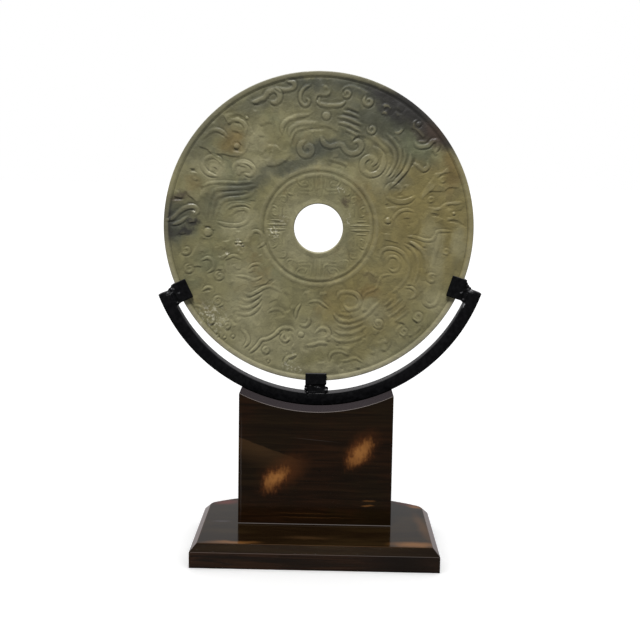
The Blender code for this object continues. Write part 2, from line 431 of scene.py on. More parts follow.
# Every line is in mm right of and above the disc's middle.
# "down" lists edges that face down, with the raised form above them, "up" edges that face up.
# They run from left to right. A band is (half width, points), a rounded ridge along a line.
# A curl is (x, z, size, start angle, turns), a raised band that winds in from its outer end.
# A boss is (x, z, radius). "depth" makes a group shallower or deeper than the others.
topCloud = {
    "depth": 1.1,
    "down": [[(-1, 118.5), (-3.5, 123), (-2, 126.3), (3, 126), (8, 127), (9.5, 130), (9, 132.5)]],
    "up": [[(0, 137.5), (5, 136.3), (8, 133.5)]],
    "bands": [
        (1.5, [(-9, 137), (-15, 134), (-18.8, 128.5), (-19, 121.5), (-15.8, 117.3),
          (-11.5, 118.5), (-11.3, 122.5), (-14.5, 124)]),
        (2.6, [(-66, 119.5), (-59, 121), (-53.5, 124), (-50, 129), (-45, 131.3), (-40, 129),
          (-39, 123.5), (-43, 119.5), (-48, 120.5)]),
        (2.2, [(-44, 134.5), (-37, 131.5), (-30, 132), (-25, 134.5), (-26, 138.5), (-33, 139.8)]),
        (2, [(-1, 124), (-1.5, 120), (3, 117.8), (11, 117.5), (19, 118.2), (24, 121.5)]),
    ],
    "bosses": [(6, 107.5, 4.2)],
}
leftMane = {
    "depth": 0.85,
    "down": [
        [(-27, 78), (-26.5, 84), (-22, 92), (-8, 96.5), (0, 97.3), (8, 97), (18, 92)],
        [(-52, 59.5), (-45, 59), (-38, 61), (-33, 64), (-26.5, 70)], [(-54, 69), (-53, 73), (-50, 76.5)],
    ],
    "up": [
        [(-11, 93.5), (0, 94.5), (5, 94)], [(-51, 79.5), (-42, 79), (-39.5, 77), (-39, 74)],
        [(-54, 64), (-48, 67), (-46, 72), (-47, 75)],
    ],
    "bands": [
        (2, [(-36.3, 90), (-36, 97), (-31.5, 102.8), (-24, 106.3), (-10, 108.8)]),
        (2, [(-29.8, 88), (-28.3, 94), (-23.3, 98.5), (-15, 100.5), (-3, 101)]),
    ],
    "curls": [(-12, 75.5, 11.5, 95, 1.3)],
}
rightMane = {
    "depth": 1.15,
    "down": [[(24, 115.5), (30, 114), (38, 110.5)]],
    "bands": [
        (1.5, [(16, 107), (24, 106), (32, 103.5), (41, 99.5)]),
        (1.5, [(17, 101.3), (25, 100.3), (33, 96.8), (40, 93)]),
        (1.4, [(21, 112), (29, 110.7), (38, 106.8)]), (1.3, [(24, 95), (31, 92.2), (36, 89.5)]),
    ],
    "curls": [(25, 129, 5.5, 200, 1.3), (46, 122, 7, 120, 1.1), (49.5, 95.5, 6, 160, 1.2)],
}
rightCurls = {
    "down": [
        [(57, 111), (59, 110.3), (62, 109.8), (64.5, 108)], [(60, 116), (63, 116.8), (67, 116.5)],
        [(71, 117), (75, 114), (79, 111.5)], [(69.5, 93.5), (72, 91.8), (75, 91.3), (78, 93), (81, 97)],
        [(69.5, 89), (72, 88), (76.5, 82.5)], [(86, 97), (90, 96), (94, 93), (100, 87)],
        [(106, 76), (109, 75), (111, 72.5), (114, 72)],
    ],
    "up": [
        [(19, 131), (22, 135), (27, 137), (32, 136.8), (38, 134.5), (47, 130)], [(60, 113.5), (64, 112.5)],
        [(58, 118.5), (62, 120), (66, 118.5), (69, 115)], [(72, 114), (75, 111), (77, 109)],
        [(71.5, 94), (75, 94), (78, 96.5)], [(88.5, 98), (88.5, 103), (91, 105), (94, 104.5)],
        [(92, 85), (98, 85.8), (103, 85)], [(107, 84), (110, 87), (113, 84)],
    ],
    "bands": [
        (2, [(91, 85), (93, 80.8), (98, 79.8), (104, 81), (108, 85.5), (112.5, 85), (113, 79.5),
          (111, 75)]),
        (2, [(90, 64.5), (95, 61.5), (100, 57.8), (104, 61), (103, 66)]),
    ],
    "bosses": [(94.5, 101, 2.5)],
}
cloudBank = {
    "depth": 0.95,
    "down": [
        [(12, 68.5), (19, 68.5)], [(8, 66), (18, 63.5), (28, 59.5)],
        [(31.5, 83), (33, 87), (37, 89), (42, 88.8), (47, 86.5), (54, 82.5), (60, 77.5), (65, 72)],
    ],
    "up": [[(50, 80.5), (57, 78), (61, 74), (64, 69.5)]],
    "bands": [
        (2.5, [(1, 87.5), (4.5, 81), (11, 79), (18, 80.8), (22, 79.5), (25, 75), (31, 72.3),
          (37, 74), (40, 79), (37, 84), (32, 82.5)]),
        (2.5, [(61.5, 71), (61, 61), (56, 54), (48, 52.5), (42, 57), (42, 65), (48, 69.3),
          (53.5, 65.5), (51, 61)]),
    ],
}
rightBody = {
    "depth": 0.85,
    "down": [[(71, 40.5), (78, 48.5), (86, 58), (90, 68), (90.5, 76)]],
    "up": [[(87, 59), (91, 64), (93, 69)]],
    "bands": [
        (1.7, [(58, 87), (66, 81.5), (71, 75), (72.5, 67), (70.5, 59), (65, 51)]),
        (1.6, [(63, 92), (71, 85), (76.5, 77), (77.7, 68), (74.5, 58.5), (68.5, 49.5)]),
        (1.4, [(81, 77), (81.5, 69), (78.5, 59.5), (72.5, 50.5)]),
        (1.6, [(87, 74), (86.5, 66), (82.5, 56.5), (76, 48.5), (70, 42)]),
    ],
}
volute = {
    "depth": 0.6,
    "down": [[(63, 23.5), (66, 24.5), (68, 26)], [(81.5, 33), (81.7, 39), (83, 41.5), (86, 38)]],
    "up": [
        [(64, 33), (69, 29)], [(75, 32), (78, 32), (80.5, 31.5)], [(81, 43), (84, 43.5), (87, 43)],
        [(63, 20.5), (67, 21.5), (72, 22), (78, 21.5)], [(65, 12.5), (70, 12.5)],
    ],
    "bands": [
        (2.4, [(92, 32), (85, 27.5), (76, 27), (69, 30), (65.5, 35.5), (67.5, 41.5), (74, 43),
          (78.5, 39.5), (77, 35)]),
    ],
    "bosses": [(67, 8.5, 3)],
}
rightHead = {
    "depth": 0.65,
    "down": [
        [(100, 29.5), (102.5, 33), (110, 40), (112, 45)], [(114, 49.5), (116, 53), (120, 55), (126, 55.5)],
        [(104, 37.5), (112, 37.5), (120, 37.5)], [(119, 35.5), (122, 39), (126, 41.3), (135, 41)],
        [(110, 19.5), (114, 19), (119, 21)], [(122, 23), (127, 25), (133, 25), (138, 26.5)],
        [(134, 19), (137, 20.5), (138, 25)], [(107, 17), (112, 16), (117, 14.3)],
        [(123, 9), (128, 10), (134, 9.5), (141, 5)],
    ],
    "up": [
        [(98.5, 28), (98.5, 33), (103, 42), (109, 50), (111, 54.5), (118, 56), (124, 62)],
        [(104, 23), (110, 21.8), (116, 22), (120, 25), (125, 27), (138, 28.5)],
        [(122, 20.5), (127, 21), (130, 18.5)], [(108, 13.5), (115, 13), (122, 10)],
        [(122, 12.5), (131, 12.5)], [(125, 8), (130, 8), (136, 6)],
    ],
    "curls": [(119, 48.5, 4, 60, 1.1), (108, 29, 4.5, 330, 1.2)],
    "bosses": [(130.5, 16.5, 1.6)],
}
rightHook = {
    "depth": 0.55,
    "down": [
        [(81, 10), (83, 11), (87, 11), (89, 10)], [(86.5, 4), (89, 4.5)], [(101, -15.5), (105, -17.5)],
        [(87, -13), (92, -15), (99, -20.5)], [(63, -10), (68, -10.8), (79, -13.5)],
    ],
    "up": [
        [(86, 0), (88, 4), (89.5, 8)], [(88, -10.5), (93, -12), (101, -17), (106, -19.5)],
        [(62, -4), (70, -4)],
    ],
    "bands": [
        (1.4, [(71.5, 3), (71.5, 9), (75, 14.5), (80, 18.3), (86, 19.3), (92, 17.5)]),
        (1.4, [(86, -6.5), (92, -6.8), (98, -8.3), (104, -10), (110, -9.5), (113, -5.5),
          (116, -1), (128, -0.8)]),
    ],
}
rightArch = {
    "depth": 0.65,
    "down": [
        [(122.5, -29), (123.5, -25.5), (128, -24)], [(45, -47), (48, -43.5), (50.5, -40.5)],
        [(56.5, -48), (59, -44)], [(92, -71), (94, -68), (100, -61), (104, -59)], [(86, -54), (92, -54)],
    ],
    "up": [[(50, -43), (52, -40)]],
    "bands": [
        (1.7, [(59.5, -29), (61.5, -22), (67, -18.5), (75, -19), (83, -24), (88, -33), (88, -43),
          (83, -52), (77, -58), (72, -62)]),
        (1.3, [(66, -33), (69, -27), (75, -26.5), (79, -31.5), (78, -38), (73, -40.5), (69, -38)]),
        (1.4, [(84, -14), (92, -20), (97, -30), (97, -42), (93, -53)]),
        (1.6, [(88, -11), (97, -16.5), (104, -26), (106, -37), (104, -42)]),
        (2, [(116.5, -3), (116, -12), (113, -24), (112, -34)]),
        (1.2, [(44, -67), (47, -62.5), (52, -60), (57, -57.5), (60, -50), (63, -45.5), (71, -43.5)]),
        (1.2, [(85, -56.5), (91, -56.2), (95, -60), (94, -65), (88, -67.5)]),
        (1.8, [(104, -65), (105, -71.3), (110, -74), (115.5, -71), (118, -65), (119, -59)]),
    ],
    "curls": [(124, -20, 4.5, 170, 1.1), (111, -47, 6.5, 60, 1.1)],
}
lowerFeathers = {
    "depth": 0.75,
    "down": [
        [(22, -81), (34, -81)], [(20, -84), (28, -85.3), (36, -85)], [(13, -111), (24, -111)],
        [(18, -113.5), (22, -113.5)], [(43, -81), (49, -78.5)], [(55, -84.5), (61, -82.5)],
    ],
    "up": [[(43, -107), (46, -106.7), (49, -108.5)], [(17, -115.5), (35, -116)]],
    "bands": [
        (1.8, [(16, -83), (21, -88.5), (30, -90.7), (40, -88.3), (49, -83), (56, -75.5), (61, -71)]),
        (1.6, [(20, -94.3), (28, -96), (37, -94.5), (46, -90)]),
        (1.7, [(17, -100), (24, -102.7), (33, -102.3), (41, -99.5), (48, -95)]),
        (1.6, [(16, -107.5), (23, -110), (32, -109.7), (41, -107), (48, -103)]),
        (1.9, [(19.5, -68), (22, -63), (29, -61.5), (37.5, -63.5), (42, -70), (39, -76.5),
          (31, -78.5), (26, -75)]),
    ],
}
tailFan = {
    "depth": 0.8,
    "bands": [
        (1.2, [(64, -74.5), (69, -71.5), (74, -66.5)]),
        (1.2, [(66, -79.5), (73, -75), (80, -69), (83, -66)]), (1.2, [(69, -86), (77, -80.5), (86, -72.5)]),
        (1.2, [(75, -89.5), (82, -85), (89, -79)]),
    ],
}
lowerRightCurls = {
    "depth": 0.85,
    "down": [
        [(88, -104.5), (93, -103.5), (100, -98), (102, -93)],
        [(75, -91), (79, -90.5), (84, -91.5), (87, -93.5)], [(82, -106), (86, -106), (89, -105)],
        [(58.5, -105), (59.3, -102), (61.5, -99)], [(65, -111.5), (69, -111), (71.5, -108)],
        [(62, -118), (67, -119), (71, -115), (73, -110)], [(52, -121), (55, -122.5), (58, -121)],
        [(24, -124), (34, -124)], [(22, -136.5), (27, -136)], [(39, -137), (44, -137)],
    ],
    "up": [
        [(98.5, -98), (98.5, -92), (97, -89.5), (93, -87)],
        [(77, -103), (77, -98), (80, -94), (83, -93), (85, -95)],
        [(58, -110.5), (62, -110), (65, -108), (69, -107)], [(57, -118), (61, -118)],
        [(19, -135), (23, -134.5)], [(9, -101), (14, -104.5), (18, -108)],
    ],
    "bands": [
        (1.3, [(13, -130), (13.5, -124.5), (17, -121.3), (23, -120.5), (30, -122.5)]),
        (1.3, [(23, -130), (29, -129.5), (34, -127.5), (39, -127), (45, -130.5)]),
    ],
    "curls": [(98.5, -84.5, 6.5, 190, 1.35), (85, -99.5, 5.5, 200, 1.3), (60, -92, 6.3, 200, 1.35)],
}
lowerCloud = {
    "down": [[(-26, -76), (-25.5, -81)], [(6, -64.5), (10, -64.5)], [(9, -109), (14, -110.5)]],
    "up": [
        [(-14, -65), (-12, -62), (-6, -61.5)], [(2, -67), (3, -62.7), (10, -62.5)],
        [(-15, -118), (-10, -120.5), (-6, -120)], [(0, -131.5), (10, -131)],
    ],
    "bands": [
        (1.3, [(-9, -72.5), (-4, -71.3), (2, -71.5), (6, -74.3), (11, -78)]),
        (1.3, [(-21, -89), (-20.5, -83), (-18.5, -78), (-16, -74)]),
        (1.8, [(-10, -115), (-3, -114), (4, -112.3), (12, -113)]),
        (1.6, [(-17, -94), (-12, -95.7), (-8, -93), (-8, -88)]),
        (1.8, [(-1, -102), (4, -98), (10, -99), (12, -104), (8, -107)]),
    ],
    "bosses": [(-15.5, -104.5, 3)],
}
lowerLeftHorn = {
    "down": [
        [(-29, -127), (-25, -127.5), (-20, -124)], [(-32, -100), (-29, -100.5), (-26, -99.5)],
        [(-38, -105), (-36, -103)], [(-29, -112), (-27, -110.5), (-25, -109)],
    ],
    "up": [
        [(-31, -111), (-27, -107.5), (-26, -106)],
        [(-25.5, -118.5), (-22.5, -113), (-23, -106), (-25, -102)], [(-32, -134), (-30, -131), (-28, -128)],
        [(-30, -122.5), (-28, -122.5)],
    ],
    "bands": [
        (1.5, [(-66, -123.5), (-61, -119.5), (-57, -115), (-54, -110.5), (-48, -109),
          (-41, -104.8), (-36, -99.5), (-31, -97.8), (-25, -98.3), (-21.5, -102)]),
        (1.6, [(-32, -133.5), (-29, -128.5), (-24, -126.5), (-19, -124)]),
        (1.6, [(-74, -100), (-69, -105), (-67, -112), (-71, -118)]),
    ],
    "curls": [(-49, -121, 5, 60, 1.1), (-30.5, -108.5, 5.5, 100, 0.8)],
}
leftFeathers = {
    "depth": 0.6,
    "down": [
        [(-48, -74), (-45, -72.5), (-42, -71), (-37, -71)],
        [(-63, -59), (-54, -56), (-50, -55), (-47, -51.5), (-42, -50)], [(-68, -44), (-62, -43.7)],
        [(-79, -41), (-74, -41.5)], [(-34, -63), (-30, -64), (-26, -67)],
    ],
    "up": [
        [(-47, -56), (-43, -53), (-40, -51)], [(-62, -91), (-59, -95), (-57, -97)],
        [(-41, -87), (-36, -87), (-30, -86.3)], [(-67, -52), (-62, -51.3), (-58, -53)],
        [(-32, -82), (-27, -82)],
    ],
    "bands": [
        (1.5, [(-72, -63.5), (-66, -66), (-59, -63), (-52.5, -59), (-46.5, -57.5), (-40.5, -59.5),
          (-35, -62.5)]),
        (1.6, [(-75, -69), (-68, -71.8), (-61, -69.3), (-54, -64.5)]),
        (1.6, [(-78, -76.5), (-70, -79), (-62, -76.3), (-54.5, -69.5)]),
        (1.6, [(-79, -84), (-70, -85.7), (-62, -83), (-54.5, -75)]),
        (1.2, [(-67, -40.5), (-64, -37), (-57, -36), (-52, -41)]),
        (1.5, [(-48, -83), (-42, -80), (-35, -80.5), (-31, -85)]),
        (1.4, [(-79, -47.5), (-70, -48.7), (-61, -51), (-54, -48.5)]),
        (1.4, [(-90, -32), (-82, -28), (-74, -31.5)]),
        (1.5, [(-58, -20), (-52, -14), (-55, -6), (-62, -4), (-66, -10)]),
    ],
}
leftCurls = {
    "depth": 0.8,
    "down": [
        [(-92, -35), (-90, -41), (-88, -47)], [(-99, -42), (-92, -42)],
        [(-122, -39.5), (-116, -39), (-111, -40)], [(-98, -79), (-96, -78.5), (-92, -77), (-93, -73)],
        [(-106, -96), (-103, -96), (-100, -94)], [(-90, -100), (-86, -101), (-84, -96)],
        [(-95, -94), (-91, -98)], [(-80, -90), (-77, -94)],
    ],
    "up": [
        [(-110, -64), (-103, -62.5)], [(-84, -84), (-81, -88)], [(-90, -91), (-85, -91), (-78, -97)],
        [(-83, -51), (-81, -53.5)], [(-83, -38.5), (-81, -36)],
    ],
    "bands": [
        (1.6, [(-113, -33), (-107, -30.5), (-102, -34), (-102, -41), (-107, -45)]),
        (1.4, [(-112, -63), (-108, -59.5), (-103, -60.5), (-102, -66)]),
        (1.4, [(-119, -77), (-112, -80), (-109, -87)]),
    ],
    "curls": [
        (-95.5, -48, 5.8, 100, 1.3), (-125, -41.5, 6, 100, 1.1), (-97, -72.5, 5.8, 30, 1.3),
        (-103, -92, 5, 100, 1.1), (-87, -97.5, 4, 30, 1), (-128, -23.5, 6, 150, 1.1),
    ],
    "bosses": [(-82, -107.5, 1.6), (-97, -107, 1.2), (-90, -108.5, 1.4), (-47, -131.5, 1.3)],
}
leftBrow = {
    "depth": 0.7,
    "down": [
        [(-94, -18), (-92, -22), (-90, -19)], [(-92, -33), (-90, -30), (-87, -28)],
        [(-112, -13), (-110, -11.5), (-109, -14)], [(-114, -28), (-112.5, -24), (-110, -27)],
        [(-136, -6), (-133, -8), (-127, -7)], [(-78, -13), (-78, -19)],
        [(-112, 0), (-106, 0), (-103, -3), (-99, -3.5)],
    ],
    "up": [
        [(-94, -13), (-91, -14), (-87, -13), (-85, -9)], [(-98, -27), (-95, -29), (-91, -27), (-86, -26)],
        [(-101, -20), (-97, -19.5)], [(-78, -20), (-76, -23), (-72, -26)],
        [(-72, -16), (-71, -13), (-67, -5)],
        [(-127, -30.5), (-124, -28), (-121, -23), (-118, -19), (-115, -12)], [(-83, -1), (-80, -1)],
        [(-80, -4), (-75, -4)], [(-58, -27), (-54, -26.5)],
    ],
    "bosses": [(-107, -5.5, 4.3), (-79.5, -15, 1.2), (-75.5, -15, 1.2), (-73, -17.5, 1.1)],
}
leftWing = {
    "depth": 0.5,
    "down": [[(-68, 26), (-63, 25.5), (-60, 25)]],
    "up": [[(-80, 25), (-72, 24.5), (-65, 22.5)], [(-80, 17.3), (-72, 17.5)]],
    "bands": [
        (1.8, [(-109, 7), (-107.3, 19), (-104.7, 30), (-99, 35.8), (-88, 36.8), (-72, 37.4), (-61, 40.5)]),
        (1.6, [(-105, 5), (-102.7, 17), (-99, 27.5), (-91, 31.4), (-81, 32.7), (-69, 34.6)]),
        (1.7, [(-100, 8), (-97.5, 17), (-93, 24), (-86, 27.2), (-76, 28.2), (-67, 30.5), (-61, 36.5)]),
        (1.4, [(-113, 38), (-105, 42), (-92, 42.8), (-78, 42.6), (-64, 43.8)]),
        (1.2, [(-91, 12), (-88, 17.5), (-81, 21), (-72, 21.5), (-66, 19)]),
        (1.7, [(-98, 4.5), (-89, 1.8), (-77, 1.8), (-69, 6), (-67, 13), (-71, 17.5), (-79, 16.5),
          (-85, 11.5)]),
    ],
}
leftEdge = {
    "down": [
        [(-141, 29), (-134, 27), (-130, 29)], [(-128, 35), (-126, 30), (-122, 27), (-117, 22)],
        [(-126, 1.5), (-124, 3.5), (-118, 4)], [(-125, 55), (-119, 55.5)],
        [(-103, 57.5), (-99, 56), (-98.5, 52), (-101, 48)], [(-120, 43), (-117, 46)],
    ],
    "up": [
        [(-138, 33), (-135, 35)], [(-142, 25), (-130, 25.5)], [(-128, 21.7), (-120, 21.7)],
        [(-123, 13), (-121, 15), (-118.5, 13.5)], [(-116, 28), (-114, 33), (-110, 38)],
        [(-125, 52.5), (-120, 52.5), (-117, 50.5)], [(-108, 50), (-105.5, 54), (-105, 61)],
        [(-102, 67), (-98, 64.5), (-93, 61.5)],
    ],
    "bands": [
        (2.2, [(-147, 5), (-141, 8), (-136, 13), (-129, 17.5), (-121, 19), (-117, 15), (-119, 10.5)]),
        (1.8, [(-142, 1), (-134, 4), (-127, 9.5)]),
    ],
}
beastFace = {
    "depth": 0.75,
    "down": [
        [(-117, 77), (-112, 75.5), (-108, 74), (-102, 69), (-94, 70), (-85, 68), (-78, 68),
          (-74, 70), (-69.5, 75), (-67, 82)],
        [(-83, 83), (-80, 81), (-77, 80), (-74, 78)], [(-85, 76), (-80, 75), (-77, 75.5)],
        [(-86, 92), (-83, 92), (-79, 91), (-76, 88.5)],
        [(-84, 106), (-80, 107.5), (-75, 106.5), (-72, 104)], [(-82, 100.7), (-76, 100.7)],
        [(-93, 107), (-90, 102), (-88, 99), (-84, 101)],
        [(-65, 118), (-60, 118.5), (-57, 121.3), (-53, 122), (-51.5, 127)],
        [(-59, 97.3), (-55, 98), (-50, 100), (-45, 99.5)],
        [(-80, 50.5), (-77, 50), (-75, 52.5), (-70, 53.5)], [(-79, 59), (-70, 58)],
        [(-60, 87.5), (-52, 87)],
    ],
    "up": [
        [(-85, 73), (-80, 72.5), (-75, 72), (-72, 73), (-70.5, 78)], [(-86, 76), (-85, 80), (-83, 84)],
        [(-94, 87), (-90, 87)], [(-92, 107), (-87, 108.5), (-82, 109)], [(-82, 105), (-76, 105.3)],
        [(-65, 112), (-60, 112)], [(-65, 97), (-64, 91), (-62, 89)],
        [(-80, 62), (-75, 63), (-68, 61.5), (-63, 58.5)], [(-105, 99), (-100, 101)],
    ],
    "bands": [
        (1.9, [(-113, 84), (-107, 90), (-100, 93), (-93, 90.5), (-89, 86)]),
        (1.8, [(-90, 98), (-84, 102), (-76, 101.5), (-71, 96), (-72, 88)]),
        (1.9, [(-99, 48.5), (-107, 51), (-112, 57.5), (-110, 64.5), (-103, 67.5), (-96, 65), (-94, 59)]),
        (1.9, [(-83, 52), (-81.5, 59), (-75, 63), (-67, 61), (-63, 55), (-66, 50), (-72, 51)]),
    ],
    "bosses": [(-79.5, 78, 3), (-70, 104.5, 1.6)],
}
# One half of one of the ring's four panels, turned and mirrored round the hole in the code.
ringPanel = {
    "bands": [
        (0.8, [(2.3, 31.5), (2.3, 40), (2.3, 49.5)]),
        (0.7, [(6.4, 47), (6.4, 42), (6.6, 36.8), (12, 36.2), (19, 36.4)]),
        (0.7, [(10.5, 46.5), (16.5, 46.8), (20, 43.8), (17.5, 40.4), (11.5, 40.6), (12, 43.5),
          (15.5, 43.6)]),
        (0.7, [(24.5, 41), (29, 37.5), (29.2, 32.5), (25, 32), (24.8, 35.5)]),
        (0.6, [(9, 33.3), (20, 33.3)]),
    ],
}
carving = (
    topCloud, leftMane, rightMane, rightCurls, cloudBank, rightBody, volute, rightHead,
    rightHook, rightArch, lowerFeathers, tailFan, lowerRightCurls, lowerCloud, lowerLeftHorn,
    leftFeathers, leftCurls, leftBrow, leftWing, leftEdge, beastFace,
)


def between(value, low, high):
    # 0 below low, 1 above high, eased
    share = np.clip((value - low) / (high - low), 0, 1)
    return share * share * (3 - 2 * share)


def smoothLine(points, step=0.7):
    # a smooth curve through the points
    knots = np.array(points, float)
    knots = np.vstack([2 * knots[0] - knots[1], knots, 2 * knots[-1] - knots[-2]])
    line = []
    for before, start, end, after in zip(knots, knots[1:], knots[2:], knots[3:]):
        count = max(2, int(np.hypot(*(end - start)) / step) + 1)
        t = np.linspace(0, 1, count, endpoint=False)[:, None]
        bend = 2 * before - 5 * start + 4 * end - after
        twist = 3 * start - before - 3 * end + after
        line.append(start + 0.5 * ((end - before) * t + bend * t**2 + twist * t**3))
    line.append(knots[-2][None])
    return np.vstack(line)


def near(x, z, line, reach):
    low, high = line.min(0) - reach, line.max(0) + reach
    return np.flatnonzero((x > low[0]) & (x < high[0]) & (z > low[1]) & (z < high[1]))


def measure(line, x, z):
    # distance from the line, positive on its left, and how far along it
    starts, runs = line[:-1], np.diff(line, axis=0)
    lengths = np.maximum(np.hypot(runs[:, 0], runs[:, 1]), 1e-6)
    passed = np.concatenate([[0], np.cumsum(lengths)[:-1]])
    best = np.full(x.shape, 1e9)
    side = np.zeros(x.shape)
    along = np.zeros(x.shape)
    for start, run, length, soFar in zip(starts, runs, lengths, passed):
        overX, overZ = x - start[0], z - start[1]
        share = np.clip((overX * run[0] + overZ * run[1]) / length**2, 0, 1)
        gap = np.hypot(overX - share * run[0], overZ - share * run[1])
        nearer = gap < best
        best[nearer] = gap[nearer]
        side[nearer] = np.sign(run[0] * overZ - run[1] * overX)[nearer]
        along[nearer] = soFar + share[nearer] * length
    return best, side, along, lengths.sum()


def cutEdge(height, x, z, points, strength=1.0):
    # a step down from the line's left to its right, easing back to the ground on both sides
    line = smoothLine(points)
    spots = near(x, z, line, 8)
    gap, side, along, total = measure(line, x[spots], z[spots])
    ends = between(np.minimum(along, total - along), 0, min(carvingCut["endTaper"], total / 3))
    wall = between(gap, 0, carvingCut["wall"])
    raised = carvingCut["rise"] * np.exp(-gap / carvingCut["riseReach"])
    sunk = -carvingCut["sink"] * np.exp(-gap / carvingCut["sinkReach"])
    height[spots] += strength * ends * wall * np.where(side > 0, raised, sunk)


def raiseCord(height, x, z, line, halfWidth, strength=1.0):
    # a rounded band with a groove along each side, narrower towards its ends
    spots = near(x, z, line, 6)
    gap, _, along, total = measure(line, x[spots], z[spots])
    toEnd = np.minimum(along, total - along)
    full = between(toEnd, -1, min(carvingCut["cordTaper"], total / 3))
    width = halfWidth * (carvingCut["cordEnd"] + (1 - carvingCut["cordEnd"]) * full)
    ends = between(toEnd + 1, 0, carvingCut["endTaper"])
    shoulder, foot = carvingCut["cordShoulder"], carvingCut["cordFoot"]
    cord = carvingCut["cord"] * (1 - between(gap, width - shoulder, width + foot))
    grooves = carvingCut["groove"] * np.exp(-((gap - width - shoulder) / carvingCut["grooveWidth"]) ** 2)
    height[spots] += strength * ends * (cord - grooves)


def curlLine(x, z, size, start, turns):
    t = np.linspace(0, 1, int(26 * turns) + 6)
    radius = size * carvingCut["curlReach"] * (1 - t * min(0.8, carvingCut["curlClosing"] * turns))
    angle = math.radians(start) + math.tau * turns * t
    return np.stack([x + radius * np.cos(angle), z + radius * np.sin(angle)], 1)


def raiseBoss(height, x, z, middleX, middleZ, radius):
    gap = np.hypot(x - middleX, z - middleZ)
    spots = np.flatnonzero(gap < radius + 4)
    gap = gap[spots]
    dome = carvingCut["boss"] * np.sqrt(np.clip(1 - (gap / radius) ** 2, 0, 1))
    beyond, width = carvingCut["bossGroove"]
    height[spots] += dome - carvingCut["groove"] * np.exp(-((gap - radius - beyond) / width) ** 2)


def ring(radius, inner, outer, ease=0.9):
    # 1 from inner to outer, 0 elsewhere, with a slope as wide as ease
    rise = between(radius, inner - ease / 2, inner + ease / 2)
    return rise * (1 - between(radius, outer - ease / 2, outer + ease / 2))


def carvePanels(height, x, z, depth):
    # four panels round the hole, each in two mirrored halves
    for quarter in range(4):
        cos, sin = math.cos(quarter * math.pi / 2), math.sin(quarter * math.pi / 2)
        for side in (-1, 1):
            for halfWidth, points in ringPanel["bands"]:
                line = np.array([(side * across, out) for across, out in points])
                turned = np.stack([line @ (cos, -sin), line @ (sin, cos) + plain["squareUp"]], 1)
                raiseCord(height, x, z, smoothLine(turned), halfWidth, depth)


def carvedHeight(x, z):
    # millimetres above or below the ground that lies under the rim
    height = np.zeros(x.shape)
    for group in carving:
        depth = group.get("depth", 1.0)
        for points in group.get("down", ()):
            cutEdge(height, x, z, points, depth)
        for points in group.get("up", ()):
            cutEdge(height, x, z, points[::-1], carvingCut["upStrength"] * depth)
        for halfWidth, points in group.get("bands", ()):
            raiseCord(height, x, z, smoothLine(points), halfWidth, depth)
        for curl in group.get("curls", ()):
            halfWidth = max(1.0, carvingCut["curlWidth"] * curl[2])
            raiseCord(height, x, z, curlLine(*curl), halfWidth, depth)
        for boss in group.get("bosses", ()):
            raiseBoss(height, x, z, *boss)
    carvePanels(height, x, z, plain["panels"])
    height = carvingCut["limit"] * np.tanh(height / carvingCut["limit"])
    radius = np.hypot(x, z)
    ringRadius = np.hypot(x, z - plain["ringsUp"])
    line, width, depth = plain["rimGroove"]
    rim = plain["rimHeight"] * between(radius, *plain["rim"])
    height += rim - depth * np.exp(-((radius - line) / width) ** 2)
    for inner, outer in plain["rings"]:
        height += plain["ringHeight"] * ring(ringRadius, inner, outer)
    height -= plain["channelDepth"] * ring(ringRadius, *plain["channel"])
    square = np.maximum(np.abs(x), np.abs(z - plain["squareUp"]))
    beyondCollar = between(radius, *plain["collar"])
    height -= plain["squareDepth"] * (1 - between(square, *plain["square"])) * beyondCollar
    height += plain["collarHeight"] * (1 - beyondCollar)
    return height


def backHeight(x, z):
    # the plainer side, cut lines and panels only
    height = np.zeros(x.shape)
    carvePanels(height, x, z, plain["backPanels"])
    width, depth = plain["backLine"]
    for line in plain["backLines"]:
        height -= depth * np.exp(-((np.hypot(x, z) - line) / width) ** 2)
    return np.clip(height, -plain["backLimit"], 0)


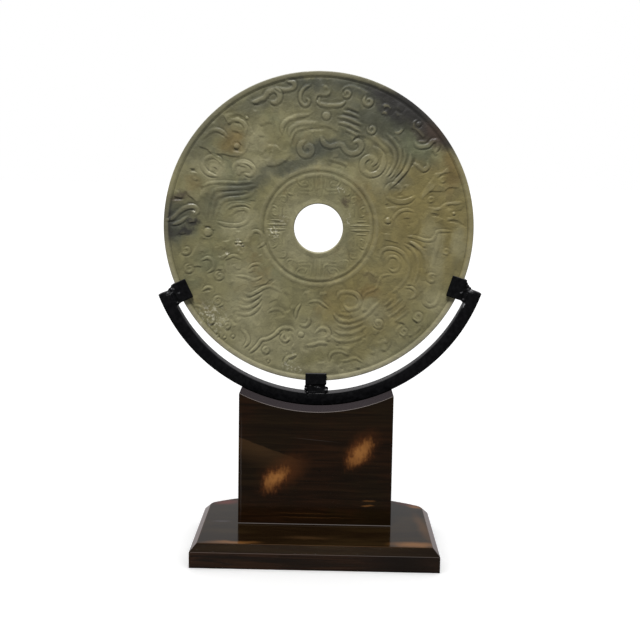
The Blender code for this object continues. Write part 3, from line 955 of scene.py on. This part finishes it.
def carveDisc():
    low, high, centre = corners("jade_disc")
    outer = (high.x - low.x) / 2 - disc["inside"]
    thick = high.y - low.y
    hole = disc["hole"] * mm
    bpy.ops.mesh.primitive_plane_add(size=1, location=centre, rotation=(math.pi / 2, 0, 0))
    piece = bpy.context.object
    piece.name = "carvedDisc"
    bpy.ops.object.transform_apply(location=False, rotation=True, scale=False)
    mesh = piece.data
    for vertex in mesh.vertices:  # the section between hole and rim
        vertex.co.x = hole if vertex.co.x < 0 else outer
        vertex.co.z, vertex.co.y = 0, -thick / 2 if vertex.co.z < 0 else thick / 2
    bpy.ops.object.mode_set(mode="EDIT")
    bpy.ops.mesh.select_all(action="SELECT")
    bpy.ops.mesh.bevel(offset=disc["ease"], segments=3, affect="VERTICES", offset_type="OFFSET")
    bpy.ops.mesh.delete(type="ONLY_FACE")
    for depth, rows in ((-thick / 2, disc["frontRows"]), (thick / 2, disc["backRows"])):
        selectEdges(piece, lambda a, b: abs(a.y - depth) < touching and abs(b.y - depth) < touching)
        bpy.ops.mesh.subdivide(number_cuts=rows)
    bpy.ops.object.mode_set(mode="OBJECT")
    turned = piece.modifiers.new("turned", "SCREW")
    turned.axis = "Y"
    turned.steps = turned.render_steps = disc["aroundSteps"]
    turned.use_merge_vertices = True
    turned.merge_threshold = touching
    turned.use_smooth_shade = True
    bpy.ops.object.modifier_apply(modifier="turned")
    place = np.empty(len(mesh.vertices) * 3, np.float32)
    mesh.vertices.foreach_get("co", place)
    place = place.reshape(-1, 3)
    x, z = place[:, 0] / mm, place[:, 2] / mm
    front = np.flatnonzero(place[:, 1] < -thick / 2 + hair)
    back = np.flatnonzero(place[:, 1] > thick / 2 - hair)
    radius = np.hypot(x, z)
    height = carvedHeight(x[front].astype(float), z[front].astype(float)) - disc["ground"]
    height = np.minimum(height, 0)
    fade = between(radius[front] - hole / mm, disc["ease"] / mm, 2 * disc["ease"] / mm)
    place[front, 1] -= (height * fade * mm).astype(np.float32)
    behind = backHeight(x[back].astype(float), z[back].astype(float))
    place[back, 1] += (behind * mm).astype(np.float32)
    mesh.vertices.foreach_set("co", place.ravel())
    recess = mesh.attributes.new("recess", "FLOAT", "POINT")
    depth = np.zeros(len(place), np.float32)
    depth[front], depth[back] = -height, disc["ground"] - behind
    recess.data.foreach_set("value", depth)
    mesh.update()
    cleanNormals(piece)
    thinned = piece.modifiers.new("thinned", "DECIMATE")
    thinned.ratio = disc["triangles"] / (2 * len(mesh.polygons))
    bpy.ops.object.modifier_apply(modifier="thinned")
    mesh = piece.data
    mesh.shade_smooth()
    print("disc carved:", len(mesh.polygons), "faces")
    return piece


# Cradle bar

bar = {
    "size": 12 * mm,
    "innerRadius": 155.4 * mm,
    "centre": (-1.1 * mm, 11.2 * mm, 301.0 * mm),
    "start": 201.22,  # degrees round the bar's centre, from the right
    "end": 341.18,
    "ease": 1.0 * mm,
    "endEase": 0.6 * mm,
    "steps": 120,
    "sharp": 50,  # degrees
}


def bendBar():
    half = bar["size"] / 2
    middle = bar["innerRadius"] + half
    start = math.radians(bar["start"]) + bar["endEase"] / middle
    sweep = math.radians(bar["end"]) - bar["endEase"] / middle - start
    deselectAll()
    spot = Vector(bar["centre"]) + middle * Vector((math.cos(start), 0, math.sin(start)))
    bpy.ops.mesh.primitive_plane_add(size=bar["size"], location=spot, rotation=(0, -start, 0))
    piece = bpy.context.object
    piece.name = piece.data.name = "squareBar"
    bpy.ops.object.transform_apply(location=True, rotation=True, scale=True)
    bpy.ops.object.mode_set(mode="EDIT")
    bpy.ops.mesh.select_all(action="SELECT")
    bpy.ops.mesh.bevel(offset=bar["ease"], segments=3, affect="VERTICES")
    bpy.ops.mesh.select_all(action="SELECT")
    bpy.ops.mesh.spin(steps=bar["steps"], angle=sweep, center=bar["centre"], axis=(0, 1, 0))
    bpy.ops.object.mode_set(mode="OBJECT")
    cleanNormals(piece)
    bpy.ops.object.mode_set(mode="EDIT")
    bpy.ops.mesh.select_mode(type="FACE")
    bpy.ops.mesh.select_all(action="DESELECT")
    bpy.ops.object.mode_set(mode="OBJECT")
    for face in piece.data.polygons:  # the two ends
        face.select = len(face.vertices) > 4
    bpy.ops.object.mode_set(mode="EDIT")
    bpy.ops.mesh.inset(thickness=bar["endEase"], depth=bar["endEase"], use_individual=True)
    bpy.ops.object.mode_set(mode="OBJECT")
    piece.data.shade_smooth()
    piece.data.set_sharp_from_angle(angle=math.radians(bar["sharp"]))
    return piece


# Clips

clip = {
    "lip": 2.6 * mm,
    "web": 3.0 * mm,
    "gap": 0.3 * mm,
    "beadPitch": 1.9 * mm,
    "beadRadius": 1.6 * mm,
    "beadSwell": 0.18,  # how much the beads differ in size
    "beadRhythm": 5.3,
    "beadShort": 0.6 * mm,  # how far short of the bar a bead's middle lies
    "beadSink": 1.3 * mm,  # and how far below the neck's face
    "lumpSink": 0.45,  # share of a lump's radius below the neck's face
    "neckInset": 0.3 * mm,
    "neckRoot": 1.2 * mm,  # how far the neck runs into the clip's web
    "neckOverlap": 0.3 * mm,  # and past the bar's inner face
    "grain": 0.33 * mm,  # voxel size of the forged and welded surface
    "ease": 0.6 * mm,
    "triangles": 16000,
}
clips = {  # in mm and degrees
    # the neck runs from and to across the clip, a lump is (across, out past the disc's edge, radius)
    "leftClip": {
        "node": "left_clip",
        "direction": 205.6,
        "width": 19.6,
        "reach": 11.5,
        "turn": 0.0,
        "neck": (-6.2, 9.2),
        "lumps": (
            (-7.4, 3.0, 1.7), (-6.0, 5.0, 2.0), (-4.6, 7.2, 2.2), (-3.8, 9.8, 1.7), (-1.6, 4.0, 1.5),
            (9.2, 5.2, 1.8),
        ),
    },
    "bottomClip": {
        "node": "bottom_clip",
        "direction": 270.0,
        "width": 20.8,
        "reach": 8.0,
        "turn": 0.0,
        "neck": (-9.4, 9.4),
        "lumps": (
            (-8.8, 4.4, 1.7), (-9.6, 8.0, 1.9), (-8.2, 11.6, 1.6), (-7.6, 14.4, 1.3), (0.6, 4.8, 1.3),
            (3.0, 5.0, 1.1), (10.4, 9.6, 1.9),
        ),
    },
    "rightClip": {
        "node": "right_clip",
        "direction": 337.7,
        "width": 20.8,
        "reach": 11.5,
        "turn": 5.0,
        "neck": (-9.4, 4.6),
        "lumps": (
            (7.4, 2.8, 1.7), (5.4, 4.8, 2.0), (3.8, 7.0, 2.2), (2.8, 9.8, 1.7), (1.0, 3.8, 1.5),
            (-8.6, 6.8, 2.0),
        ),
    },
}


def barReach(direction):
    # from the disc's middle out to the bar's inner side
    offset = corners("jade_disc")[2] - Vector(bar["centre"])
    along = offset.x * math.cos(direction) + offset.z * math.sin(direction)
    return -along + math.sqrt(along**2 + bar["innerRadius"] ** 2 - offset.x**2 - offset.z**2)


def addBead(spot, radius):
    deselectAll()
    bpy.ops.mesh.primitive_ico_sphere_add(subdivisions=3, radius=radius, location=spot)
    return bpy.context.object


def weldClip(name):
    # modelled along +X from the disc's middle, then turned to its place
    shape = clips[name]
    low, high, centre = corners("jade_disc")
    edge = (high.x - low.x) / 2
    slot = (high.y - low.y) / 2 + clip["gap"]
    cheek = slot + clip["lip"]
    shoulder = edge + clip["gap"] + clip["web"]
    half = shape["width"] * mm / 2
    tip = edge - shape["reach"] * mm
    direction = math.radians(shape["direction"])
    foot = barReach(direction)
    plate = block(name, (tip, -cheek, -half), (shoulder, cheek, half))
    apply(plate, "rounded", "BEVEL", width=clip["ease"], segments=3)
    cutAway(plate, block("throat", (0, -slot, -2 * half), (edge + clip["gap"], slot, 2 * half)))
    if shape["turn"]:
        pivot = Matrix.Translation(((tip + shoulder) / 2, 0, 0))
        turn = Matrix.Rotation(-math.radians(shape["turn"]), 4, "Y")
        plate.data.transform(pivot @ turn @ pivot.inverted())
    depth = bar["size"] / 2 - clip["neckInset"]
    first, last = (across * mm for across in shape["neck"])
    root, end = shoulder - clip["neckRoot"], foot + clip["neckOverlap"]
    pieces = [block("neck", (root, -depth, first), (end, depth, last))]
    count = int((last - first) / clip["beadPitch"])
    for i in range(count + 1):
        across = first + (last - first) * i / count
        swell = 1 + clip["beadSwell"] * math.sin(clip["beadRhythm"] * i + direction)
        for side in (-1, 1):
            spot = (foot - clip["beadShort"], side * (depth - clip["beadSink"]), across)
            pieces.append(addBead(spot, clip["beadRadius"] * swell))
    for across, out, radius in shape["lumps"]:
        for side in (-1, 1):
            spot = (edge + out * mm, side * (depth - radius * clip["lumpSink"] * mm), across * mm)
            pieces.append(addBead(spot, radius * mm))
    deselectAll()
    for piece in pieces:
        piece.select_set(True)
    plate.select_set(True)
    bpy.context.view_layer.objects.active = plate
    bpy.ops.object.join()
    apply(plate, "fused", "REMESH", mode="VOXEL", voxel_size=clip["grain"])
    apply(plate, "softened", "SMOOTH", factor=0.5, iterations=2)
    share = clip["triangles"] / (2 * len(plate.data.polygons))
    apply(plate, "thinned", "DECIMATE", ratio=min(1.0, share))
    plate.rotation_euler = (0, -direction, 0)
    plate.location = centre
    plate.data.shade_smooth()
    return plate


# Upright block

upright = {"ease": 0.9 * mm, "easedFrom": 35, "hollowGap": 0.3 * mm}


def shapeUpright():
    piece = block("uprightBlock", *corners("upright_block")[:2])
    deselectAll()
    hollow = bar["innerRadius"] + bar["size"] + upright["hollowGap"]
    bpy.ops.mesh.primitive_cylinder_add(
        vertices=512, radius=hollow, depth=0.2, location=bar["centre"], rotation=(math.pi / 2, 0, 0)
    )
    cutAway(piece, bpy.context.object, "hollow")
    easeEdges(piece, upright["ease"], upright["easedFrom"])
    return piece


# Base board

base = {
    "backRadius": 218.5 * mm,
    "straight": 15 * mm,  # the bowed back's last stretch each side, which leaves the corners room
    "corner": 5 * mm,
    "chamfer": 6.3 * mm,
    "ease": 0.5 * mm,
    "easedFrom": 25,  # degrees between the faces of an edge
}


def shapeBase():
    low, high, centre = corners("base_board")
    deselectAll()
    bpy.ops.mesh.primitive_cylinder_add(
        vertices=720, radius=base["backRadius"], depth=high.z - low.z,
        location=(centre.x, high.y - base["backRadius"], centre.z),
    )
    piece = bpy.context.object
    piece.name = piece.data.name = "baseBoard"
    bpy.ops.object.transform_apply(location=True, rotation=True, scale=True)
    bpy.ops.object.mode_set(mode="EDIT")
    for spot, normal in ((low, (-1, 0, 0)), (high, (1, 0, 0)), (low, (0, -1, 0))):
        bpy.ops.mesh.select_all(action="SELECT")
        bpy.ops.mesh.bisect(plane_co=spot, plane_no=normal, use_fill=True, clear_outer=True)
    straight, side = high.x - base["straight"], high.x - hair

    def standsBehind(a, b):
        return abs(a.z - b.z) > 1 * mm and a.y > 0

    selectEdges(piece, lambda a, b: standsBehind(a, b) and straight < abs(a.x) < side)
    bpy.ops.mesh.dissolve_edges(use_verts=True)
    selectEdges(piece, lambda a, b: min(a.z, b.z) > high.z - hair)
    bpy.ops.mesh.bevel(offset=base["chamfer"], segments=1, affect="EDGES")
    selectEdges(piece, lambda a, b: standsBehind(a, b) and max(abs(a.x), abs(b.x)) > side)
    bpy.ops.mesh.bevel(offset=base["corner"], segments=6, affect="EDGES")
    bpy.ops.object.mode_set(mode="OBJECT")
    easeEdges(piece, base["ease"], base["easedFrom"])
    return piece


# Finishes

jade = {
    "olive": (0.0470, 0.0428, 0.0198),
    "warm": (0.0505, 0.0402, 0.0136),
    "pale": (0.0680, 0.0630, 0.0360),
    "moss": (0.0300, 0.0330, 0.0190),
    "amber": (0.0390, 0.0275, 0.0090),
    "slate": (0.0150, 0.0158, 0.0108),
    "charcoal": (0.0042, 0.0038, 0.0033),
    "brown": (0.0120, 0.0072, 0.0045),
    # a painted reflection of the floor on the lower rim
    "paintedRimReflection": (0.0900, 0.0840, 0.0660),
    # wear on the raised parts, and a painted highlight there
    "worn": (0.0640, 0.0580, 0.0340),
    "residueGlint": (0.2000, 0.1900, 0.1500),
    # dirt in the carving's hollows, and painted shade there
    "dirtAndShade": (0.0045, 0.0038, 0.0020),
    "shade": (0.0020, 0.0020, 0.0010),
    "shine": 0.12,
}
# A spot is across and up, half width and half height in mm, then its lean in degrees.
jadeStains = (  # pattern, tone, share, spots from the disc's middle
    ("drift", "warm", 0.85, ((105, 5, 95, 120, 0), (40, -75, 60, 60, 0))),
    ("drift", "pale", 0.8, (
        (-8, -6, 54, 46, 0), (-60, -125, 84, 34, 30), (-62, 52, 30, 16, 0), (40, -138, 90, 20, 20),
    )),
    ("sway", "pale", 0.6, (
        (-62, 84, 16, 20, 0), (-104, 56, 24, 16, -30), (62, 48, 20, 24, 0), (112, -20, 14, 50, 8),
        (122, -76, 22, 44, 36), (136, -12, 12, 26, 0), (-76, -44, 22, 18, 0), (0, -142, 76, 12, 0),
    )),
    ("drift", "pale", 0.7, (
        (-68, -78, 44, 40, 0), (0, -104, 36, 24, 0), (48, -80, 30, 26, 0), (-76, 4, 24, 22, 0),
    )),
    ("sway", "amber", 0.8, (
        (-82, 82, 20, 20, 0), (126, 56, 12, 34, 0), (100, 66, 22, 12, -30), (52, -62, 18, 10, 0),
    )),
    ("drift", "slate", 0.6, (
        (-14, 134, 110, 28, 0), (-114, 92, 34, 44, -40), (-66, 118, 30, 16, 30), (20, 76, 60, 20, 0),
    )),
    ("sway", "slate", 0.8, (
        (-24, 62, 50, 10, 22), (-74, 37, 40, 10, 14), (38, 106, 34, 20, -25), (-132, 8, 26, 30, 0),
    )),
    ("sway", "slate", 0.9, (
        (-143, 4, 16, 40, 0), (42, 132, 60, 13, -16), (74, 106, 48, 20, -38), (0, 78, 40, 9, 6),
        (-8, 139, 34, 8, 0),
    )),
    ("sway", "slate", 0.5, (
        (-56, 50, 16, 10, 20), (62, 110, 24, 14, -30), (-106, 20, 16, 26, -10), (14, 104, 46, 16, 0),
        (78, 74, 22, 18, -40), (74, 48, 20, 16, 0),
    )),
    ("sway", "slate", 0.6, ((56, 104, 42, 18, -35), (66, 92, 26, 14, -30), (34, 91, 32, 9, 0))),
    ("sway", "moss", 0.8, ((96, 78, 34, 22, -40),)),
    ("sway", "moss", 0.4, ((-106, -34, 24, 16, 0),)),
    ("sway", "brown", 0.7, (
        (106, 92, 20, 12, -42), (96, 94, 16, 10, -40), (-136, 30, 16, 6, 10), (27, 27, 6, 6, 0),
    )),
    ("sway", "brown", 0.35, ((54, -47, 18, 7, -25),)),
    ("sway", "charcoal", 0.9, (
        # the spot at -132, -5 is a painted shadow, the others are dark stains
        (-148, 6, 12, 34, 0), (-122, 4, 10, 5, 18), (-132, -5, 14, 5, 12), (66, 114, 26, 10, -30),
    )),
    ("sway", "charcoal", 0.6, ((96, 106, 48, 24, -46), (70, 118, 44, 18, -35))),
)
# specks of residue, painted bright as highlights
residueAndGlints = (  # share, spot
    (0.55, (-43, -3, 9, 12, 0)), (0.35, (-34, 8, 7, 10, 0)), (0.5, (21, 38, 7, 5, -30)),
    (0.4, (29, 8, 3, 12, 0)), (0.5, (-104, -90, 24, 22, -40)), (0.8, (-94, -28, 3.5, 2.5, 20)),
    (0.8, (-88, -26, 3.5, 2.5, 0)), (0.6, (-120, 14, 5, 3, -30)), (0.5, (-26, -130, 8, 14, -30)),
    (0.5, (-20, -139, 12, 5, 0)), (0.4, (-76, -17, 6, 10, 20)),
)
jadeBurnt = (  # tone, share, spot with its softness, over the rim too
    ("charcoal", 0.94, (105, 104, 52, 15, -45, 0.5)),
    ("charcoal", 0.94, (84, 118, 36, 14, -38, 0.7)),
    ("charcoal", 0.94, (62, 128, 34, 8, -27, 0.9)),
    ("brown", 0.70, (110, 92, 22, 11, -50, 0.9)),
)


def jadePaint():
    paint, tree, shader, place = newPaint("oliveJade", 0.4)
    centre = corners("jade_disc")[2]
    middle = (centre.x, centre.z)
    drift = warped(tree, place, noise(tree, place, 22, 5, 0.62, output="Color"), 60 * mm)
    sway = warped(tree, place, noise(tree, place, 45, 5, 0.7, output="Color"), 26 * mm)
    patterns = {"drift": drift, "sway": sway}
    haze = ramp(tree, noise(tree, drift, 9, 3), 0.35, 0.65, 0.0, 0.35)
    colour = mix(tree, haze, jade["olive"], jade["pale"])
    for scale, low, high, share, tone in ((28, 0.5, 0.72, 0.45, "moss"), (37, 0.52, 0.75, 0.5, "amber")):
        flecks = ramp(tree, noise(tree, sway, scale, 4, 0.6), low, high, 0.0, share)
        colour = mix(tree, flecks, colour, jade[tone])
    for pattern, tone, share, spots in jadeStains:
        for spot in spots:
            mask = patch(tree, patterns[pattern], (*spot, 0.8), middle)
            colour = stain(tree, colour, mask, share, jade[tone])
    height = split(tree, place)["Z"]
    rim = calc(tree, "SUBTRACT", 1.0, patch(tree, place, (0, 0, 149.5, 149.5, 0, 0.035), middle))
    # the rim band is paler towards the bottom, a painted reflection, and darker towards the top, painted
    # shade
    low = ramp(tree, height, centre.z - 90 * mm, centre.z + 20 * mm, 0.55, 0.0)
    high = ramp(tree, height, centre.z + 40 * mm, centre.z + 110 * mm, 0.0, 0.75)
    colour = stain(tree, colour, rim, low, jade["paintedRimReflection"])
    # painted shade on the upper rim
    colour = stain(tree, colour, rim, high, jade["slate"])
    speck = ramp(tree, noise(tree, place, 420, 4, 0.7), 0.5, 0.62)
    # painted highlights: bright specks where the residue shines
    for share, spot in residueAndGlints:
        mask = calc(tree, "MULTIPLY", patch(tree, place, (*spot, 0.9), middle), share)
        colour = stain(tree, colour, mask, speck, jade["residueGlint"])
    mottle = ramp(tree, noise(tree, sway, 95, 5, 0.72), 0.25, 0.75, 0.58, 1.0)
    colour = mix(tree, mottle, jade["shade"], colour)
    recess = attribute(tree, "recess")
    # deeper recesses darkened: dirt, and painted shade
    colour = mix(tree, ramp(tree, recess, 0.66, 1.1, 0.0, 0.62), colour, jade["dirtAndShade"])
    # raised parts and the rim made lighter: wear, and a painted highlight
    colour = mix(tree, ramp(tree, recess, 0.05, 0.5, 0.35, 0.0), colour, jade["worn"])
    ragged = warped(tree, place, noise(tree, place, 60, 5, 0.7, output="Color"), 14 * mm)
    for tone, share, spot in jadeBurnt:
        colour = stain(tree, colour, patch(tree, ragged, spot, middle), share, jade[tone])
    feed(tree, shader.inputs["Base Color"], colour)
    shader.inputs["Specular IOR Level"].default_value = jade["shine"]
    feed(tree, shader.inputs["Roughness"], ramp(tree, noise(tree, place, 60, 3), 0.3, 0.7, 0.40, 0.55))
    worn = bump(tree, noise(tree, sway, 150, 3, 0.55), 0.4, 1.2 * mm)
    wear = noise(tree, place, 700, 3, 0.6)
    feed(tree, shader.inputs["Normal"], bump(tree, wear, 0.2, 0.15 * mm, worn))
    return paint


steel = {
    "black": (0.0004, 0.0004, 0.0005),
    "scale": (0.0012, 0.0012, 0.0014),
    # dust, with a painted sheen and highlights on upward faces and edges
    "dustAndSheen": (0.0120, 0.0115, 0.0120),
    "glint": (0.0600, 0.0600, 0.0620),
    "shine": 0.025,
    "glintSpots": (  # painted highlights on the welds and bar ends, lighter spots in the black
        (-143.4, 247.2, 3.4, 2.2, -50), (-145.6, 242.4, 4.0, 2.0, 30), (-137.0, 243.0, 2.2, 1.2, 20),
        (146.5, 249.4, 6.0, 2.0, -28), (137.0, 248.2, 2.2, 0.8, 20), (140.2, 235.4, 1.0, 3.6, -25),
        (-8.0, 153.4, 2.6, 1.0, 0), (-0.6, 151.8, 3.0, 0.9, -8), (7.4, 149.4, 2.2, 1.6, 30),
        (-134.0, 231.0, 1.2, 5.0, 30),
    ),
}


def steelPaint():
    paint, tree, shader, place = newPaint("blackSteel", 0.42)
    scale = noise(tree, place, 260, 4, 0.6)
    colour = mix(tree, ramp(tree, scale, 0.35, 0.75), steel["black"], steel["scale"])
    # upward faces lightened: dust, and a painted sheen on the welds and bar
    colour = mix(tree, ramp(tree, facing(tree)["Z"], 0.45, 0.95, 0.0, 0.8), colour, steel["dustAndSheen"])
    glintDrift = warped(tree, place, noise(tree, place, 300, 4, 0.7, output="Color"), 6 * mm)
    # painted highlights: lighter spots on the welds and the bar's ends
    glintShare = ramp(tree, scale, 0.4, 0.6, 0.1, 0.8)
    for spot in steel["glintSpots"]:
        colour = stain(tree, colour, patch(tree, glintDrift, (*spot, 0.9)), glintShare, steel["glint"])
    feed(tree, shader.inputs["Base Color"], colour)
    feed(tree, shader.inputs["Roughness"], ramp(tree, scale, 0.3, 0.7, 0.34, 0.5))
    shader.inputs["Specular IOR Level"].default_value = steel["shine"]
    feed(tree, shader.inputs["Normal"], bump(tree, scale, 0.25, 0.3 * mm))
    return paint


wood = {
    "dark": (0.0014, 0.0007, 0.0003),
    "brown": (0.0056, 0.0022, 0.0008),
    "olive": (0.0040, 0.0023, 0.0008),
    "russet": (0.0078, 0.0031, 0.0012),
    "honey": (0.0340, 0.0170, 0.0066),
    # painted warm reflections on the upright
    "warmReflection": (0.0280, 0.0085, 0.0022),
    # amber: painted warm reflections and edge highlights, and fine lines
    "amber": (0.0760, 0.0320, 0.0085),
    # a painted reflection on the base's side chamfers
    "flankReflection": (0.0120, 0.0060, 0.0055),
    "red": (0.0200, 0.0030, 0.0024),
    "dustAndSheen": (0.0700, 0.0620, 0.0580),
    # lacquer bloom, and a painted sheen on upward faces
    "bloomAndSheen": (0.0068, 0.0056, 0.0060),
    "uprightShine": 0.032,
    "flankShine": 0.2,
    "lacquer": 1.165,  # the base's refraction
}


def grain(tree, place, scale):
    lines = stretched(tree, place, (1.0, 6.0, 16.0))
    return noise(tree, lines, scale, 7, 0.62, 0.8)


def uprightPaint():
    paint, tree, shader, place = newPaint("uprightWood", 0.16)
    low = corners("upright_block")[0]
    figure = noise(tree, place, 16, 4, 0.6)
    brown = mix(tree, ramp(tree, figure, 0.4, 0.6), wood["brown"], wood["olive"])
    colour = mix(tree, ramp(tree, grain(tree, place, 14), 0.25, 0.85), wood["dark"], brown)
    cloud = noise(tree, place, 90, 5, 0.65, output="Color")
    drift = warped(tree, place, cloud, 16 * mm)
    fine = warped(tree, place, cloud, 3 * mm)
    streaks = stretched(tree, place, (6.0, 1.0, 2.0), (0, 50, 0))
    ragged = warped(tree, drift, noise(tree, streaks, 60, 4, 0.6, output="Color"), 14 * mm)
    line = above(tree, fine, -38 * mm, 94 * mm, -20)
    under = ramp(tree, line, -26 * mm, -0.8 * mm)
    wedge = calc(tree, "MULTIPLY", under, ramp(tree, line, -0.8 * mm, 0.4 * mm, 1.0, 0.0))
    wedge = calc(tree, "MULTIPLY", wedge, patch(tree, place, (-76, 84, 76, 60, 0, 0.7)))
    colour = stain(tree, colour, wedge, 0.21, wood["honey"])
    for pattern, tone, share, spot in (
        # painted warm reflections: the amber patches of lamp light under the lacquer
        (drift, "warmReflection", 0.40, (-32, 73, 36, 20, 35, 1.0)),
        (drift, "warmReflection", 0.40, (43, 97, 30, 18, 55, 1.0)),
        (ragged, "warmReflection", 0.70, (-40, 66, 23, 13, 48, 0.9)),
        (ragged, "warmReflection", 0.75, (42, 94, 24, 13, 52, 0.9)),
        (ragged, "amber", 0.85, (-39, 67, 20, 9, 50, 1.0)),
        (ragged, "amber", 0.80, (43, 94, 22, 9, 52, 1.0)),
        (fine, "amber", 0.24, (51, 46.6, 8, 1.0, 0, 0.6)),
        (fine, "amber", 0.34, (50, 41.8, 8, 1.1, 4, 0.6)),
        (place, "dustAndSheen", 0.07, (-2, 106, 30, 0.5, -5, 0.9)),
        (fine, "amber", 0.12, (0, 29, 60, 0.6, 0, 0.9)),
        (fine, "amber", 0.09, (-10, 33, 50, 0.6, 0, 0.9)),
        (fine, "dark", 1.00, (3.6, 76, 2.0, 1.8, 0, 0.7)),
        # the light lines along the left and right edges are painted edge highlights, with some dust
        (fine, "dustAndSheen", 0.10, (-72.6, 75, 0.9, 70, 0, 0.9)),
        (fine, "dustAndSheen", 0.07, (72.6, 75, 0.7, 70, 0, 0.9)),
    ):
        colour = stain(tree, colour, patch(tree, pattern, spot), share, wood[tone])
    # a painted highlight along the joint line at the foot
    foot = ramp(tree, split(tree, place)["Z"], low.z + 0.5 * mm, low.z + 1.2 * mm, 0.7, 0.0)
    colour = mix(tree, foot, colour, wood["dustAndSheen"])
    up = facing(tree)["Z"]
    # upward faces greyed: lacquer bloom, and a painted sheen
    colour = mix(tree, ramp(tree, up, 0.6, 0.85), colour, wood["bloomAndSheen"])
    # the eased edges lightened: dust, and painted highlights
    colour = mix(tree, band(tree, up, 0.3, 0.7, 0.1, 0.6), colour, wood["dustAndSheen"])
    feed(tree, shader.inputs["Base Color"], colour)
    shader.inputs["Specular IOR Level"].default_value = wood["uprightShine"]
    return paint


def basePaint():
    paint, tree, shader, place = newPaint("baseWood", 0.12)
    colour = mix(tree, ramp(tree, grain(tree, place, 14), 0.3, 0.75), wood["dark"], wood["russet"])
    colour = mix(tree, patch(tree, place, (80, 10, 70, 60, 0, 1.0)), colour, wood["dark"])
    flat = stretched(tree, place, (1, 1, 0), (90, 0, 0))  # seen from above, across and back
    drift = warped(tree, flat, noise(tree, place, 70, 5, 0.65, output="Color"), 8 * mm)
    up = facing(tree)["Z"]
    top = mix(tree, ramp(tree, grain(tree, place, 8), 0.3, 0.8), wood["dark"], wood["olive"])
    colour = mix(tree, ramp(tree, up, 0.5, 0.65), colour, top)
    # the amber, honey and red streaks on the top are painted warm reflections, like the upright's
    for tone, share, spot in (
        ("amber", 0.30, (-76, -61, 34, 5, 0, 0.9)),
        ("amber", 0.34, (92, -58, 30, 9, 0, 0.9)),
        ("amber", 0.10, (104, -20, 8, 50, 8, 1.0)),
        ("honey", 0.12, (-6, -48, 34, 5, 0, 0.9)),
        ("amber", 0.35, (101, 34, 12, 7, -30, 0.9)),
        ("red", 0.60, (-92, 36, 20, 9, 10, 0.9)),
        ("red", 0.50, (92, 42, 26, 8, -22, 0.9)),
        ("bloomAndSheen", 1.00, (-92, -13, 12, 2.6, 4, 0.8)),
    ):
        top = stain(tree, top, patch(tree, drift, spot), share, wood[tone])
    colour = mix(tree, ramp(tree, up, 0.9, 0.98), colour, top)
    # the side chamfers painted lighter and pinker, a painted reflection
    flank = band(tree, calc(tree, "ABSOLUTE", facing(tree)["X"]), 0.55, 0.85, 0.1)
    colour = mix(tree, flank, colour, wood["flankReflection"])
    # the lower arris of the front chamfer lightened: dust, and a painted highlight
    colour = mix(tree, band(tree, up, 0.3, 0.45, 0.05, 0.22), colour, wood["dustAndSheen"])
    # the upper arris: a painted amber highlight
    colour = mix(tree, band(tree, up, 0.88, 0.95, 0.03, 0.12), colour, wood["amber"])
    feed(tree, shader.inputs["Base Color"], colour)
    feed(tree, shader.inputs["Specular IOR Level"], ramp(tree, flank, 0.0, 1.0, 0.5, wood["flankShine"]))
    shader.inputs["IOR"].default_value = wood["lacquer"]
    return paint


blackSteel = steelPaint()
finishPiece(carveDisc(), jadePaint(), "jade", "litStone", "jade_disc")
finishPiece(bendBar(), blackSteel, "black_steel", "litSteel", "cradle_bar")
for name in clips:
    finishPiece(weldClip(name), blackSteel, "black_steel", "litSteel", clips[name]["node"])
finishPiece(shapeUpright(), uprightPaint(), "upright_wood", "litWood", "upright_block")
finishPiece(shapeBase(), basePaint(), "base_wood", "litWood", "base_board")
